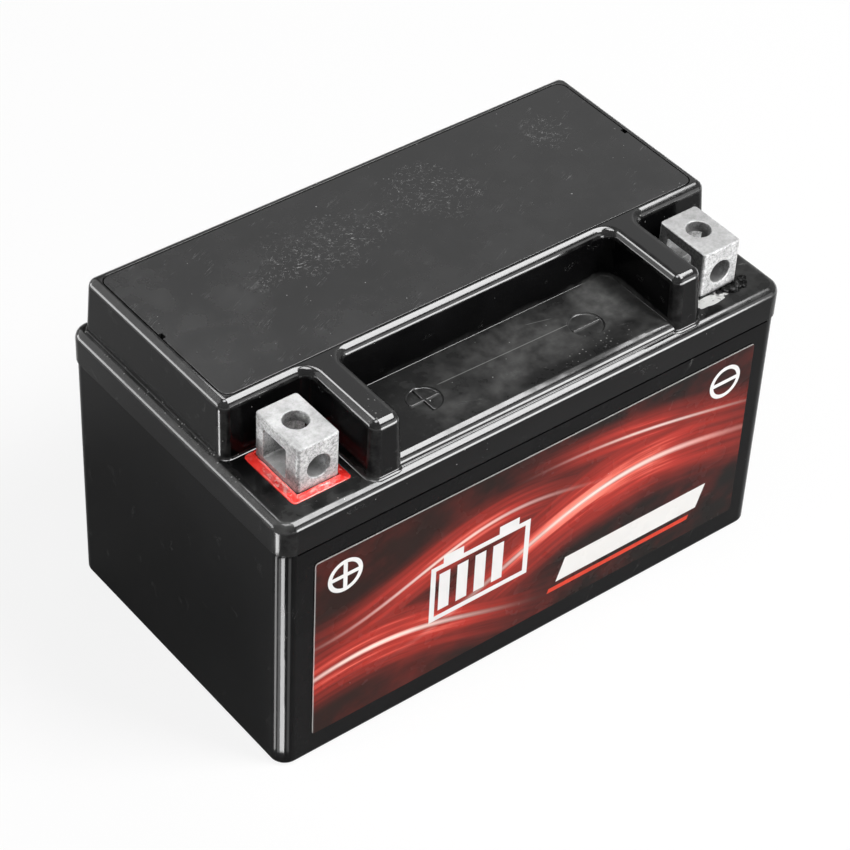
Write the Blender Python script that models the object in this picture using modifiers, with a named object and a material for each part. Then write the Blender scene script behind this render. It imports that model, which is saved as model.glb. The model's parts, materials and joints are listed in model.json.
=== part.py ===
"""Sealed twelve-volt motorcycle battery, built as the separate pieces it is assembled from.

Units are metres and +Z is up. The origin lies on the ground under the middle of the case. The long side
runs along X, the labelled front faces -Y, and the positive terminal stands at the -X end.
"""

import math

import bmesh
import bpy
from mathutils import Matrix, Vector

MM = 0.001

# Overall case
LID_LENGTH = 150.0 * MM
LID_WIDTH = 86.4 * MM
OVERALL_HEIGHT = 93.0 * MM
FIT_GAP = 0.3 * MM
CELL_COUNT = 6

# Container
CONTAINER_SETBACK = 0.4 * MM
CONTAINER_WALL = 2.6 * MM
CONTAINER_FLOOR = 2.5 * MM
CONTAINER_CORNER_RADIUS = 4.1 * MM
CONTAINER_FOOT_RADIUS = 1.0 * MM
PARTITION_THICKNESS = 1.4 * MM
TONGUE_THICKNESS = 0.9 * MM
TONGUE_HEIGHT = 5.2 * MM
TONGUE_CORNER_RADIUS = 1.5 * MM
SEALANT_THICKNESS = 0.9 * MM

# Lid shell
CROWN_HEIGHT = 15.5 * MM
SKIRT_HEIGHT = 8.8 * MM
SKIRT_WALL = 1.4 * MM
LID_CORNER_RADIUS = 4.5 * MM
LID_RIM_RADIUS = 1.5 * MM
LID_ROOF_THICKNESS = 2.0 * MM

# Raised deck, the two towers in front of it, and the recess between them
DECK_SIDE_SETBACK = 3.7 * MM
DECK_REAR_SETBACK = 3.9 * MM
DECK_CORNER_RADIUS = 2.5 * MM
DECK_EDGE_RADIUS = 1.4 * MM
DECK_DRAFT = 1.2 * MM
POCKET_CORNER_RADIUS = 3.0 * MM
TOWER_WIDTH = 6.3 * MM
TOWER_FRONT_SETBACK = 2.8 * MM
TOWER_WALL = 1.7 * MM
RECESS_STEP = 2.0 * MM
RECESS_EDGE_RADIUS = 0.9 * MM
RECESS_FRONT_LEAD = 0.3 * MM
RECESS_REAR_SETBACK = 0.4 * MM
CELL_RIB_THICKNESS = 2.4 * MM

# Polarity marks moulded into the recess floor
MARK_RADIUS = 5.0 * MM
MARK_SPACING = 48.8 * MM
MARK_DEPTH = 0.5 * MM
MARK_BAR_LENGTH = 7.6 * MM
MARK_BAR_WIDTH = 0.9 * MM

# Cover plate over the valve well
PLATE_SIDE_MARGIN = 2.0 * MM
PLATE_REAR_MARGIN = 2.1 * MM
PLATE_FRONT_MARGIN = 2.5 * MM
PLATE_THICKNESS = 2.0 * MM
PLATE_CORNER_RADIUS = 2.5 * MM
PLATE_LEDGE = 2.2 * MM
VENT_NOTCH_LENGTH = 1.8 * MM
VENT_NOTCH_DEPTH = 0.9 * MM
VENT_CHANNEL_DEPTH = 1.2 * MM
WELL_DEPTH = 8.7 * MM
WELL_FLOOR_THICKNESS = 1.5 * MM

# Valves: a rubber cap on a chimney over each cell
CHIMNEY_RADIUS = 4.0 * MM
CHIMNEY_BORE_RADIUS = 2.2 * MM
CAP_WALL = 0.9 * MM
CAP_TOP_THICKNESS = 1.4 * MM
CAP_SKIRT_GAP = 1.2 * MM
CAP_LIFT = 0.8 * MM
HOLD_DOWN_RADIUS = 3.0 * MM
HOLD_DOWN_LENGTH = 1.2 * MM

# Terminals
TERMINAL_WIDTH = 11.1 * MM
TERMINAL_LENGTH = 15.8 * MM
TERMINAL_DROP = 2.1 * MM
TERMINAL_END_SETBACK = 15.4 * MM
TERMINAL_FRONT_SETBACK = 15.7 * MM
TERMINAL_SIDE_ROOM = 6.7 * MM
TERMINAL_REAR_ROOM = 3.8 * MM
TERMINAL_EDGE_RADIUS = 0.7 * MM
TERMINAL_FOOT_INSET = 0.5 * MM
NUT_POCKET_TOP_WALL = 3.0 * MM
NUT_POCKET_FRONT_WALL = 4.2 * MM
NUT_POCKET_REAR_WALL = 2.8 * MM
NUT_POCKET_FLOOR = 1.4 * MM
BOLT_HOLE_RADIUS = 3.4 * MM
SHANK_RADIUS = 3.3 * MM
SHANK_STICK_OUT = 1.0 * MM
BOSS_RADIUS = 7.2 * MM
BOSS_LENGTH = 4.5 * MM
SEAL_SIDE_MARGIN = 2.5 * MM
SEAL_END_MARGIN = 1.5 * MM
SEAL_DEPTH = 1.3 * MM
SEAL_CROWN = 0.4 * MM
SEAL_CORNER_RADIUS = 1.5 * MM
O_RING_SECTION_RADIUS = 0.8 * MM

# Cells: plates, glass mats, straps and the welds between cells
POSITIVE_PLATE_COUNT = 4
POSITIVE_PLATE_SHARE = 0.0745
NEGATIVE_PLATE_SHARE = 0.057
PLATE_TO_MAT_GAP = 0.25 * MM
PLATE_FOOT_RISE = 1.0 * MM
PLATE_HEAD_DROP = 1.5 * MM
PLATE_SIDE_CLEARANCE = 1.6 * MM
MAT_SIDE_CLEARANCE = 0.5 * MM
HEADSPACE = 14.7 * MM
STRAP_RISE = 1.5 * MM
STRAP_THICKNESS = 4.0 * MM
STRAP_WIDTH = 10.0 * MM
STRAP_END_CLEARANCE = 0.5 * MM
LUG_WIDTH = 8.0 * MM
TOMBSTONE_THICKNESS = 2.0 * MM
TOMBSTONE_RISE = 5.0 * MM
WELD_RADIUS = 3.5 * MM
POST_RADIUS = 4.4 * MM

# Label
LABEL_LEFT_MARGIN = 8.8 * MM
LABEL_RIGHT_MARGIN = 7.5 * MM
LABEL_BOTTOM_MARGIN = 7.0 * MM
LABEL_TOP_MARGIN = 5.5 * MM
LABEL_THICKNESS = 0.15 * MM
LABEL_CORNER_RADIUS = 1.5 * MM

# Smoothness and the overshoot that takes a cutter past the face it opens
ROUND_STEPS = 24
CORNER_STEPS = 4
FILLET_STEPS = 3
OVERSHOOT = 2.0 * MM
SINK = 1.0 * MM
SHARP_ANGLE = math.radians(35)

# Worked out: case levels and half sizes
half_length = LID_LENGTH / 2
half_width = LID_WIDTH / 2
shelf_height = OVERALL_HEIGHT - CROWN_HEIGHT
skirt_foot = shelf_height - SKIRT_HEIGHT
roof_underside = shelf_height - LID_ROOF_THICKNESS
shoulder_height = skirt_foot - FIT_GAP
rim_height = min(shoulder_height + TONGUE_HEIGHT, roof_underside - SEALANT_THICKNESS - 2 * FIT_GAP)
container_half_length = half_length - CONTAINER_SETBACK
container_half_width = half_width - CONTAINER_SETBACK
cavity_half_length = container_half_length - CONTAINER_WALL
cavity_half_width = container_half_width - CONTAINER_WALL

# Worked out: the row of cells along X
cell_pitch = (2 * cavity_half_length + PARTITION_THICKNESS) / CELL_COUNT
cell_half = (cell_pitch - PARTITION_THICKNESS) / 2
cell_centres = [(i - (CELL_COUNT - 1) / 2) * cell_pitch for i in range(CELL_COUNT)]
partition_centres = [(a + b) / 2 for a, b in zip(cell_centres, cell_centres[1:])]

# Worked out: terminals, and the towers and deck that leave room round them
terminal_x = half_length - TERMINAL_END_SETBACK
terminal_y = TERMINAL_FRONT_SETBACK - half_width
terminal_top = OVERALL_HEIGHT - TERMINAL_DROP
seal_floor = shelf_height - SEAL_DEPTH
terminal_foot = seal_floor + FIT_GAP
terminal_body_foot = shelf_height + SEAL_CROWN + FIT_GAP
terminal_foot_half_x = TERMINAL_WIDTH / 2 - TERMINAL_FOOT_INSET
terminal_foot_half_y = TERMINAL_LENGTH / 2 - TERMINAL_FOOT_INSET
tower_outer_x = terminal_x - TERMINAL_WIDTH / 2 - TERMINAL_SIDE_ROOM
tower_inner_x = tower_outer_x - TOWER_WIDTH
tower_front_y = TOWER_FRONT_SETBACK - half_width
deck_half_length = half_length - DECK_SIDE_SETBACK
deck_rear_y = half_width - DECK_REAR_SETBACK
deck_front_y = terminal_y + TERMINAL_LENGTH / 2 + TERMINAL_REAR_ROOM
recess_floor = shelf_height + RECESS_STEP
recess_front_y = tower_front_y - RECESS_FRONT_LEAD
recess_rear_y = deck_front_y + RECESS_REAR_SETBACK
boss_foot = roof_underside - BOSS_LENGTH
shank_end = boss_foot - SHANK_STICK_OUT
o_ring_mid_radius = SHANK_RADIUS + FIT_GAP + O_RING_SECTION_RADIUS
counterbore_radius = o_ring_mid_radius + O_RING_SECTION_RADIUS + FIT_GAP
counterbore_floor = seal_floor - 2 * O_RING_SECTION_RADIUS - FIT_GAP

# Worked out: cover plate and the valve well under it
plate_half_length = deck_half_length - PLATE_SIDE_MARGIN
plate_front_y = deck_front_y + PLATE_FRONT_MARGIN
plate_rear_y = deck_rear_y - PLATE_REAR_MARGIN
plate_underside = OVERALL_HEIGHT - PLATE_THICKNESS
ledge_height = plate_underside - FIT_GAP
well_half_length = plate_half_length - PLATE_LEDGE
well_front_y = plate_front_y + PLATE_LEDGE
well_rear_y = plate_rear_y - PLATE_LEDGE
well_floor = plate_underside - WELL_DEPTH
chamber_ceiling = well_floor - WELL_FLOOR_THICKNESS
valve_y = (well_front_y + well_rear_y) / 2
cap_top = plate_underside - HOLD_DOWN_LENGTH - FIT_GAP - CAP_LIFT
chimney_top = cap_top - CAP_TOP_THICKNESS - FIT_GAP
cap_inner_radius = CHIMNEY_RADIUS + FIT_GAP
cap_outer_radius = cap_inner_radius + CAP_WALL

# Worked out: the stack of plates and mats inside a cell. A plate takes a share of the cell's length
negative_plate_count = POSITIVE_PLATE_COUNT + 1
positive_plate_thickness = POSITIVE_PLATE_SHARE * 2 * cell_half
negative_plate_thickness = NEGATIVE_PLATE_SHARE * 2 * cell_half
mat_layer_count = 2 * POSITIVE_PLATE_COUNT
mat_thickness = (
    2 * cell_half
    - 2 * FIT_GAP
    - POSITIVE_PLATE_COUNT * positive_plate_thickness
    - negative_plate_count * negative_plate_thickness
    - 2 * mat_layer_count * PLATE_TO_MAT_GAP
) / mat_layer_count
plate_step = mat_thickness + 2 * PLATE_TO_MAT_GAP + (positive_plate_thickness + negative_plate_thickness) / 2
mat_foot = CONTAINER_FLOOR + FIT_GAP
mat_head = rim_height - HEADSPACE
plate_foot = mat_foot + PLATE_FOOT_RISE
plate_head = mat_head - PLATE_HEAD_DROP
strap_foot = mat_head + STRAP_RISE
strap_head = strap_foot + STRAP_THICKNESS
strap_reach = cell_half - STRAP_END_CLEARANCE
strap_offset = -terminal_y
tombstone_head = strap_head + TOMBSTONE_RISE
weld_height = (strap_foot + tombstone_head) / 2
weld_hole_radius = WELD_RADIUS + FIT_GAP

FRONT = -1
REAR = 1
LEFT = -1
RIGHT = 1

# Finish of each material: base colour, roughness and metallic value
FINISHES = {
    "black_case_plastic": ((0.016, 0.016, 0.017), 0.32, 0.0),
    "black_plate_plastic": ((0.045, 0.045, 0.047), 0.45, 0.0),
    "cast_terminal_metal": ((0.72, 0.72, 0.72), 0.38, 1.0),
    "red_sealing_resin": ((0.80, 0.03, 0.02), 0.2, 0.0),
    "black_sealing_resin": ((0.01, 0.01, 0.01), 0.15, 0.0),
    "printed_label_film": ((0.055, 0.035, 0.033), 0.35, 0.0),
    "valve_rubber": ((0.03, 0.03, 0.03), 0.7, 0.0),
    "positive_plate_lead": ((0.16, 0.07, 0.04), 0.8, 0.2),
    "negative_plate_lead": ((0.33, 0.34, 0.36), 0.7, 0.5),
    "glass_fibre_mat": ((0.85, 0.85, 0.82), 0.95, 0.0),
    "bare_lead": ((0.40, 0.41, 0.43), 0.5, 0.9),
}


def clear_scene():
    """Removes whatever the scene holds."""
    for obj in list(bpy.data.objects):
        bpy.data.objects.remove(obj, do_unlink=True)


def new_collection(name):
    """A collection in the scene."""
    collection = bpy.data.collections.new(name)
    bpy.context.scene.collection.children.link(collection)
    return collection


def finish(name):
    """The named material, made on first use."""
    material = bpy.data.materials.get(name)
    if material is None:
        colour, roughness, metallic = FINISHES[name]
        material = bpy.data.materials.new(name)
        material.use_nodes = True
        shader = material.node_tree.nodes["Principled BSDF"]
        shader.inputs["Base Color"].default_value = (*colour, 1.0)
        shader.inputs["Roughness"].default_value = roughness
        shader.inputs["Metallic"].default_value = metallic
    return material


def add_part(name, mesh, material, place=(0, 0, 0)):
    """Puts a mesh in the scene as a named piece of the battery."""
    mesh.name = name
    mesh.materials.append(finish(material))
    mesh.shade_smooth()
    mesh.set_sharp_from_angle(angle=SHARP_ANGLE)
    obj = bpy.data.objects.new(name, mesh)
    obj.location = place
    obj.parent = frame
    parts.objects.link(obj)
    return obj


def add_tool(name, mesh, place=(0, 0, 0)):
    """Puts a mesh in the scene as a cutter, or as a lump that a piece is joined with."""
    mesh.name = name
    obj = bpy.data.objects.new(name, mesh)
    obj.location = place
    obj.hide_render = True
    obj.display_type = "WIRE"
    tools.objects.link(obj)
    return obj


def combine(obj, tool, operation):
    """Adds a Boolean of the tool to the piece."""
    modifier = obj.modifiers.new(tool.name, "BOOLEAN")
    modifier.operation = operation
    modifier.object = tool


def cut(obj, tool):
    """Takes the tool's shape out of the piece."""
    combine(obj, tool, "DIFFERENCE")


def join(obj, tool):
    """Adds the tool's shape to the piece."""
    combine(obj, tool, "UNION")


def mesh_from(bm):
    """Turns a bmesh into a mesh and frees it."""
    mesh = bpy.data.meshes.new("shape")
    bm.to_mesh(mesh)
    bm.free()
    return mesh


def blocks(corner_pairs):
    """Boxes, each between a low and a high corner, in one mesh."""
    bm = bmesh.new()
    for low, high in corner_pairs:
        size = [b - a for a, b in zip(low, high)]
        middle = [(a + b) / 2 for a, b in zip(low, high)]
        matrix = Matrix.Translation(middle) @ Matrix.Diagonal((*size, 1.0))
        bmesh.ops.create_cube(bm, size=1.0, matrix=matrix)
    return mesh_from(bm)


def rods(radius, low, high, places, along="Z"):
    """Round rods in one mesh. Each lies along an axis from low to high, at a place across that axis."""
    turn = {
        "X": Matrix.Rotation(math.pi / 2, 4, "Y"),
        "Y": Matrix.Rotation(-math.pi / 2, 4, "X"),
        "Z": Matrix.Identity(4),
    }[along]
    bm = bmesh.new()
    for place in places:
        middle = list(place)
        middle.insert("XYZ".index(along), (low + high) / 2)
        bmesh.ops.create_cone(
            bm,
            cap_ends=True,
            segments=ROUND_STEPS,
            radius1=radius,
            radius2=radius,
            depth=high - low,
            matrix=Matrix.Translation(middle) @ turn,
        )
    return mesh_from(bm)


def rectangle(x_low, x_high, y_low, y_high, radius=0.0):
    """Corners of a rectangle, anticlockwise, each with its corner radius."""
    corners = ((x_low, y_low), (x_high, y_low), (x_high, y_high), (x_low, y_high))
    return [(x, y, radius) for x, y in corners]


def rounded(corners):
    """Outline through square corners of given radius, with an arc of a few steps at each."""
    outline = []
    for i, (x, y, radius) in enumerate(corners):
        if radius <= 0:
            outline.append((x, y))
            continue
        before, after = corners[i - 1], corners[(i + 1) % len(corners)]
        to_before = unit(before[0] - x, before[1] - y)
        to_after = unit(after[0] - x, after[1] - y)
        centre_x = x + radius * (to_before[0] + to_after[0])
        centre_y = y + radius * (to_before[1] + to_after[1])
        for step in range(CORNER_STEPS + 1):
            angle = math.pi / 2 * step / CORNER_STEPS
            back, along = radius * math.cos(angle), radius * math.sin(angle)
            outline.append(
                (
                    centre_x - back * to_after[0] - along * to_before[0],
                    centre_y - back * to_after[1] - along * to_before[1],
                )
            )
    return outline


def unit(x, y):
    """The direction of a flat vector."""
    length = math.hypot(x, y)
    return x / length, y / length


def ribbon(path, width):
    """Outline of a flat ribbon that follows a path of square turns."""
    left, right = [], []
    for i, (x, y) in enumerate(path):
        normals = []
        for a, b in ((i - 1, i), (i, i + 1)):
            if a >= 0 and b < len(path):
                along = unit(path[b][0] - path[a][0], path[b][1] - path[a][1])
                normals.append((-along[1], along[0]))
        shift_x = sum(n[0] for n in normals) * width / 2
        shift_y = sum(n[1] for n in normals) * width / 2
        left.append((x + shift_x, y + shift_y))
        right.append((x - shift_x, y - shift_y))
    return left + right[::-1]


def extruded(outlines, low, high, along="Z"):
    """Mesh of a flat outline drawn out from low to high along an axis. Further outlines are holes in it.

    The outline's two coordinates are the other two axes, in X, Y, Z order.
    """
    curve = bpy.data.curves.new("outline", "CURVE")
    curve.dimensions = "2D"
    curve.fill_mode = "BOTH"
    curve.extrude = (high - low) / 2
    for outline in outlines:
        spline = curve.splines.new("POLY")
        spline.points.add(len(outline) - 1)
        spline.use_cyclic_u = True
        for point, (x, y) in zip(spline.points, outline):
            point.co = (x, y, 0, 1)
    drawn = bpy.data.objects.new("outline", curve)
    tools.objects.link(drawn)
    graph = bpy.context.evaluated_depsgraph_get()
    mesh = bpy.data.meshes.new_from_object(drawn.evaluated_get(graph))
    bpy.data.objects.remove(drawn)
    bpy.data.curves.remove(curve)
    turn = {
        "X": Matrix(((0, 0, 1, 0), (1, 0, 0, 0), (0, 1, 0, 0), (0, 0, 0, 1))),
        "Y": Matrix(((1, 0, 0, 0), (0, 0, -1, 0), (0, 1, 0, 0), (0, 0, 0, 1))),
        "Z": Matrix.Identity(4),
    }[along]
    shift = [0.0, 0.0, 0.0]
    shift["XYZ".index(along)] = (low + high) / 2
    mesh.transform(Matrix.Translation(shift) @ turn)
    weld(mesh, flat_angle=math.radians(0.1))
    return mesh


def weld(mesh, flat_angle):
    """Joins an outline's caps to its sides, and makes each flat of many triangles one face."""
    bm = bmesh.new()
    bm.from_mesh(mesh)
    bmesh.ops.remove_doubles(bm, verts=bm.verts, dist=0.001 * MM)
    bmesh.ops.dissolve_limit(bm, angle_limit=flat_angle, verts=bm.verts, edges=bm.edges)
    bmesh.ops.recalc_face_normals(bm, faces=bm.faces)
    bm.to_mesh(mesh)
    bm.free()


def round_level_edges(mesh, height, radius):
    """Fillets the edges of a mesh that lie at one height."""
    bm = bmesh.new()
    bm.from_mesh(mesh)
    edges = [e for e in bm.edges if all(abs(v.co.z - height) < 0.01 * MM for v in e.verts)]
    bevel(bm, edges, radius)
    bm.to_mesh(mesh)
    bm.free()


def splay(mesh, height, amount):
    """Moves the foot of an upright mesh outwards, to give its walls a draft."""
    bm = bmesh.new()
    bm.from_mesh(mesh)
    shifts = []
    for vert in bm.verts:
        if abs(vert.co.z - height) < 0.01 * MM:
            walls = [face.normal for face in vert.link_faces if abs(face.normal.z) < 0.5]
            outward = sum(walls, Vector()).normalized()
            shifts.append((vert, outward * amount / outward.dot(walls[0])))
    for vert, shift in shifts:
        vert.co += shift
    bm.to_mesh(mesh)
    bm.free()


def bevel(bm, edges, radius):
    """Rounds edges of a bmesh with a fillet of a few steps."""
    bmesh.ops.bevel(
        bm,
        geom=edges,
        offset=radius,
        offset_type="OFFSET",
        affect="EDGES",
        segments=FILLET_STEPS,
        profile=0.5,
        clamp_overlap=True,
    )


def turned(profile):
    """Mesh of a profile of (radius, height) points turned about the Z axis with a Screw modifier.

    The profile starts and ends on the axis, and runs down its outer side.
    """
    bm = bmesh.new()
    points = [bm.verts.new((radius, 0, height)) for radius, height in profile]
    for a, b in zip(points, points[1:]):
        bm.edges.new((a, b))
    spun = bpy.data.objects.new("profile", mesh_from(bm))
    screw = spun.modifiers.new("turn", "SCREW")
    screw.steps = ROUND_STEPS
    screw.render_steps = ROUND_STEPS
    screw.use_merge_vertices = True
    screw.merge_threshold = 0.01 * MM
    tools.objects.link(spun)
    graph = bpy.context.evaluated_depsgraph_get()
    mesh = bpy.data.meshes.new_from_object(spun.evaluated_get(graph))
    bpy.data.objects.remove(spun)
    return mesh


def build_container():
    """The open case: outer box, rim tongue, six cell cavities and the weld holes between them."""
    outer = rectangle(
        -container_half_length,
        container_half_length,
        -container_half_width,
        container_half_width,
        CONTAINER_CORNER_RADIUS,
    )
    mesh = extruded([rounded(outer)], 0, shoulder_height)
    round_level_edges(mesh, 0, CONTAINER_FOOT_RADIUS)
    container = add_part("container", mesh, "black_case_plastic")
    join(container, add_tool("rim_tongue", extruded([tongue_outline()], CONTAINER_FLOOR, rim_height)))
    cavities = [
        (
            (x - cell_half, -cavity_half_width, CONTAINER_FLOOR),
            (x + cell_half, cavity_half_width, rim_height + OVERSHOOT),
        )
        for x in cell_centres
    ]
    cut(container, add_tool("cell_cavities", blocks(cavities)))
    for i, x in enumerate(partition_centres):
        reach = PARTITION_THICKNESS / 2 + OVERSHOOT
        hole = rods(weld_hole_radius, x - reach, x + reach, [(weld_y(i), weld_height)], "X")
        cut(container, add_tool(f"weld_hole_{i + 1}", hole))


def tongue_outline():
    """Outside of the thin tongue on the container's rim."""
    reach_x = cavity_half_length + TONGUE_THICKNESS
    reach_y = cavity_half_width + TONGUE_THICKNESS
    return rounded(rectangle(-reach_x, reach_x, -reach_y, reach_y, TONGUE_CORNER_RADIUS))


def weld_y(i):
    """Where the weld through partition i lies: the rear for the first, then by turns."""
    return strap_offset * (REAR if i % 2 == 0 else FRONT)


def build_lid_sealant():
    """The bead of resin on the rim and the partitions, in the shape of a ladder."""
    windows = [
        rounded(rectangle(x - cell_half, x + cell_half, -cavity_half_width, cavity_half_width))
        for x in cell_centres
    ]
    foot = rim_height + FIT_GAP
    mesh = extruded([tongue_outline(), *windows], foot, foot + SEALANT_THICKNESS)
    add_part("lid_sealant", mesh, "black_sealing_resin")


def crown_outline():
    """Plan of the raised deck with its two towers."""
    inner, outer = tower_inner_x, tower_outer_x
    convex, concave = DECK_CORNER_RADIUS, POCKET_CORNER_RADIUS
    left_half = [
        (-deck_half_length, deck_rear_y, convex),
        (-deck_half_length, deck_front_y, convex),
        (-outer, deck_front_y, concave),
        (-outer, tower_front_y, convex),
        (-inner, tower_front_y, convex),
        (-inner, recess_rear_y, concave),
    ]
    right_half = [(-x, y, radius) for x, y, radius in reversed(left_half)]
    return rounded(left_half + right_half)


def build_lid():
    """The lid: skirted slab, raised deck and towers, with everything cut into them from above and below."""
    slab = rectangle(-half_length, half_length, -half_width, half_width, LID_CORNER_RADIUS)
    mesh = extruded([rounded(slab)], skirt_foot, shelf_height)
    round_level_edges(mesh, shelf_height, LID_RIM_RADIUS)
    lid = add_part("lid", mesh, "black_case_plastic")
    join(lid, crown_lump())
    join(lid, recess_step_lump())
    for tool in skirt_and_cell_cutters():
        cut(lid, tool)
    for tool in plate_and_well_cutters():
        cut(lid, tool)
    valve_places = [(x, valve_y) for x in cell_centres]
    join(lid, add_tool("chimneys", rods(CHIMNEY_RADIUS, well_floor - SINK / 2, chimney_top, valve_places)))
    bore_low = chamber_ceiling - OVERSHOOT
    bores = rods(CHIMNEY_BORE_RADIUS, bore_low, chimney_top + OVERSHOOT, valve_places)
    cut(lid, add_tool("chimney_bores", bores))
    terminal_places = [(x, terminal_y) for x in (-terminal_x, terminal_x)]
    bosses = rods(BOSS_RADIUS, boss_foot, roof_underside + SINK / 2, terminal_places)
    join(lid, add_tool("terminal_bosses", bosses))
    for tool in terminal_seat_cutters(terminal_places):
        cut(lid, tool)
    cut(lid, plus_mark_cutter())
    cut(lid, minus_mark_cutter())


def crown_lump():
    """The raised deck with the towers, sunk a little into the slab."""
    foot = shelf_height - SINK
    mesh = extruded([crown_outline()], foot, OVERALL_HEIGHT)
    splay(mesh, foot, DECK_DRAFT)
    round_level_edges(mesh, OVERALL_HEIGHT, DECK_EDGE_RADIUS)
    return add_tool("crown", mesh)


def recess_step_lump():
    """The low step that makes the floor of the recess between the towers."""
    reach = tower_inner_x + TOWER_WIDTH / 2
    rear = recess_rear_y + POCKET_CORNER_RADIUS
    plan = rectangle(-reach, reach, recess_front_y, rear)
    mesh = extruded([rounded(plan)], shelf_height - SINK / 2, recess_floor)
    round_level_edges(mesh, recess_floor, RECESS_EDGE_RADIUS)
    return add_tool("recess_step", mesh)


def skirt_and_cell_cutters():
    """What is cut from below: the space in the skirt, a chamber over each cell, and the hollow towers."""
    reach_x, reach_y = half_length - SKIRT_WALL, half_width - SKIRT_WALL
    inside = rectangle(-reach_x, reach_x, -reach_y, reach_y, max(LID_CORNER_RADIUS - SKIRT_WALL, 0))
    skirt_space = extruded([rounded(inside)], skirt_foot - OVERSHOOT, roof_underside)
    chamber_half = (cell_pitch - CELL_RIB_THICKNESS) / 2
    chambers = [
        (
            (x - chamber_half, well_front_y, roof_underside - SINK),
            (x + chamber_half, well_rear_y, chamber_ceiling),
        )
        for x in cell_centres
    ]
    slot_half = TOWER_WIDTH / 2 - TOWER_WALL
    slot_head = OVERALL_HEIGHT - TOWER_WALL - DECK_EDGE_RADIUS / 2
    tower_middle = tower_inner_x + TOWER_WIDTH / 2
    slots = [
        (
            (x - slot_half, tower_front_y + TOWER_WALL, roof_underside - SINK / 2),
            (x + slot_half, deck_front_y - TOWER_WALL, slot_head),
        )
        for x in (-tower_middle, tower_middle)
    ]
    return [
        add_tool("skirt_space", skirt_space),
        add_tool("cell_chambers", blocks(chambers)),
        add_tool("tower_slots", blocks(slots)),
    ]


def plate_and_well_cutters():
    """The seat of the cover plate, the valve well under it, and the two vent channels in the ledge."""
    seat = rectangle(
        -plate_half_length - FIT_GAP,
        plate_half_length + FIT_GAP,
        plate_front_y - FIT_GAP,
        plate_rear_y + FIT_GAP,
        PLATE_CORNER_RADIUS + FIT_GAP,
    )
    well = rectangle(-well_half_length, well_half_length, well_front_y, well_rear_y, PLATE_CORNER_RADIUS)
    channel_half = (PLATE_LEDGE + SINK) / 2
    channel_middle = plate_half_length - channel_half
    channels = [
        (
            (x - channel_half, valve_y - VENT_NOTCH_LENGTH / 2, ledge_height - VENT_CHANNEL_DEPTH),
            (x + channel_half, valve_y + VENT_NOTCH_LENGTH / 2, ledge_height + SINK),
        )
        for x in (-channel_middle, channel_middle)
    ]
    return [
        add_tool("plate_seat", extruded([rounded(seat)], ledge_height, OVERALL_HEIGHT + OVERSHOOT)),
        add_tool("valve_well", extruded([rounded(well)], well_floor, ledge_height + SINK)),
        add_tool("vent_channels", blocks(channels)),
    ]


def seal_rectangle(clearance):
    """Plan of a terminal's resin seal about the terminal's own centre, drawn in by a clearance."""
    reach_x = TERMINAL_WIDTH / 2 + SEAL_SIDE_MARGIN - clearance
    reach_y = TERMINAL_LENGTH / 2 + SEAL_END_MARGIN - clearance
    return rectangle(-reach_x, reach_x, -reach_y, reach_y, SEAL_CORNER_RADIUS)


def terminal_seat_cutters(places):
    """At each terminal: the shallow bed for its resin, the seat of its O-ring and the hole for its shank."""
    seats = []
    for side, (x, y) in zip(("positive", "negative"), places):
        bed = extruded([rounded(seal_rectangle(0))], seal_floor, shelf_height + OVERSHOOT)
        seats.append(add_tool(f"{side}_seal_bed", bed, (x, y, 0)))
    ring_seat = rods(counterbore_radius, counterbore_floor, seal_floor + SINK, places)
    seats.append(add_tool("o_ring_seats", ring_seat))
    shank_hole = rods(SHANK_RADIUS + FIT_GAP, boss_foot - OVERSHOOT, seal_floor + SINK, places)
    seats.append(add_tool("shank_holes", shank_hole))
    return seats


def mark_disc(name, x):
    """A shallow round dish in the recess floor."""
    low, high = recess_floor - MARK_DEPTH, recess_floor + OVERSHOOT
    return add_tool(name, rods(MARK_RADIUS, low, high, [(0, 0)]), (x, terminal_y, 0))


def mark_bar(name, disc, long_x, long_y):
    """A bar that stays standing in a mark's dish."""
    low = (-long_x / 2, -long_y / 2, recess_floor - MARK_DEPTH - SINK)
    high = (long_x / 2, long_y / 2, recess_floor - MARK_DEPTH / 4)
    cut(disc, add_tool(name, blocks([(low, high)]), disc.location))


def plus_mark_cutter():
    """The dish of the positive mark, less the two bars of its cross."""
    disc = mark_disc("plus_mark", -MARK_SPACING / 2)
    mark_bar("plus_long_bar", disc, MARK_BAR_LENGTH, MARK_BAR_WIDTH)
    mark_bar("plus_cross_bar", disc, MARK_BAR_WIDTH, MARK_BAR_LENGTH)
    return disc


def minus_mark_cutter():
    """The dish of the negative mark, less its one bar."""
    disc = mark_disc("minus_mark", MARK_SPACING / 2)
    mark_bar("minus_bar", disc, MARK_BAR_LENGTH, MARK_BAR_WIDTH)
    return disc


def build_cover_plate():
    """The flat plate over the valves, with a vent notch in each end and a hold-down under it for each cap."""
    plan = rectangle(
        -plate_half_length, plate_half_length, plate_front_y, plate_rear_y, PLATE_CORNER_RADIUS
    )
    mesh = extruded([rounded(plan)], plate_underside, OVERALL_HEIGHT)
    plate = add_part("cover_plate", mesh, "black_plate_plastic")
    places = [(x, valve_y) for x in cell_centres]
    foot = plate_underside - HOLD_DOWN_LENGTH
    join(plate, add_tool("hold_downs", rods(HOLD_DOWN_RADIUS, foot, plate_underside + SINK / 2, places)))
    notches = [
        (
            (x - VENT_NOTCH_DEPTH, valve_y - VENT_NOTCH_LENGTH / 2, plate_underside - SINK),
            (x + VENT_NOTCH_DEPTH, valve_y + VENT_NOTCH_LENGTH / 2, OVERALL_HEIGHT + SINK),
        )
        for x in (-plate_half_length, plate_half_length)
    ]
    cut(plate, add_tool("vent_notches", blocks(notches)))


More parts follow.
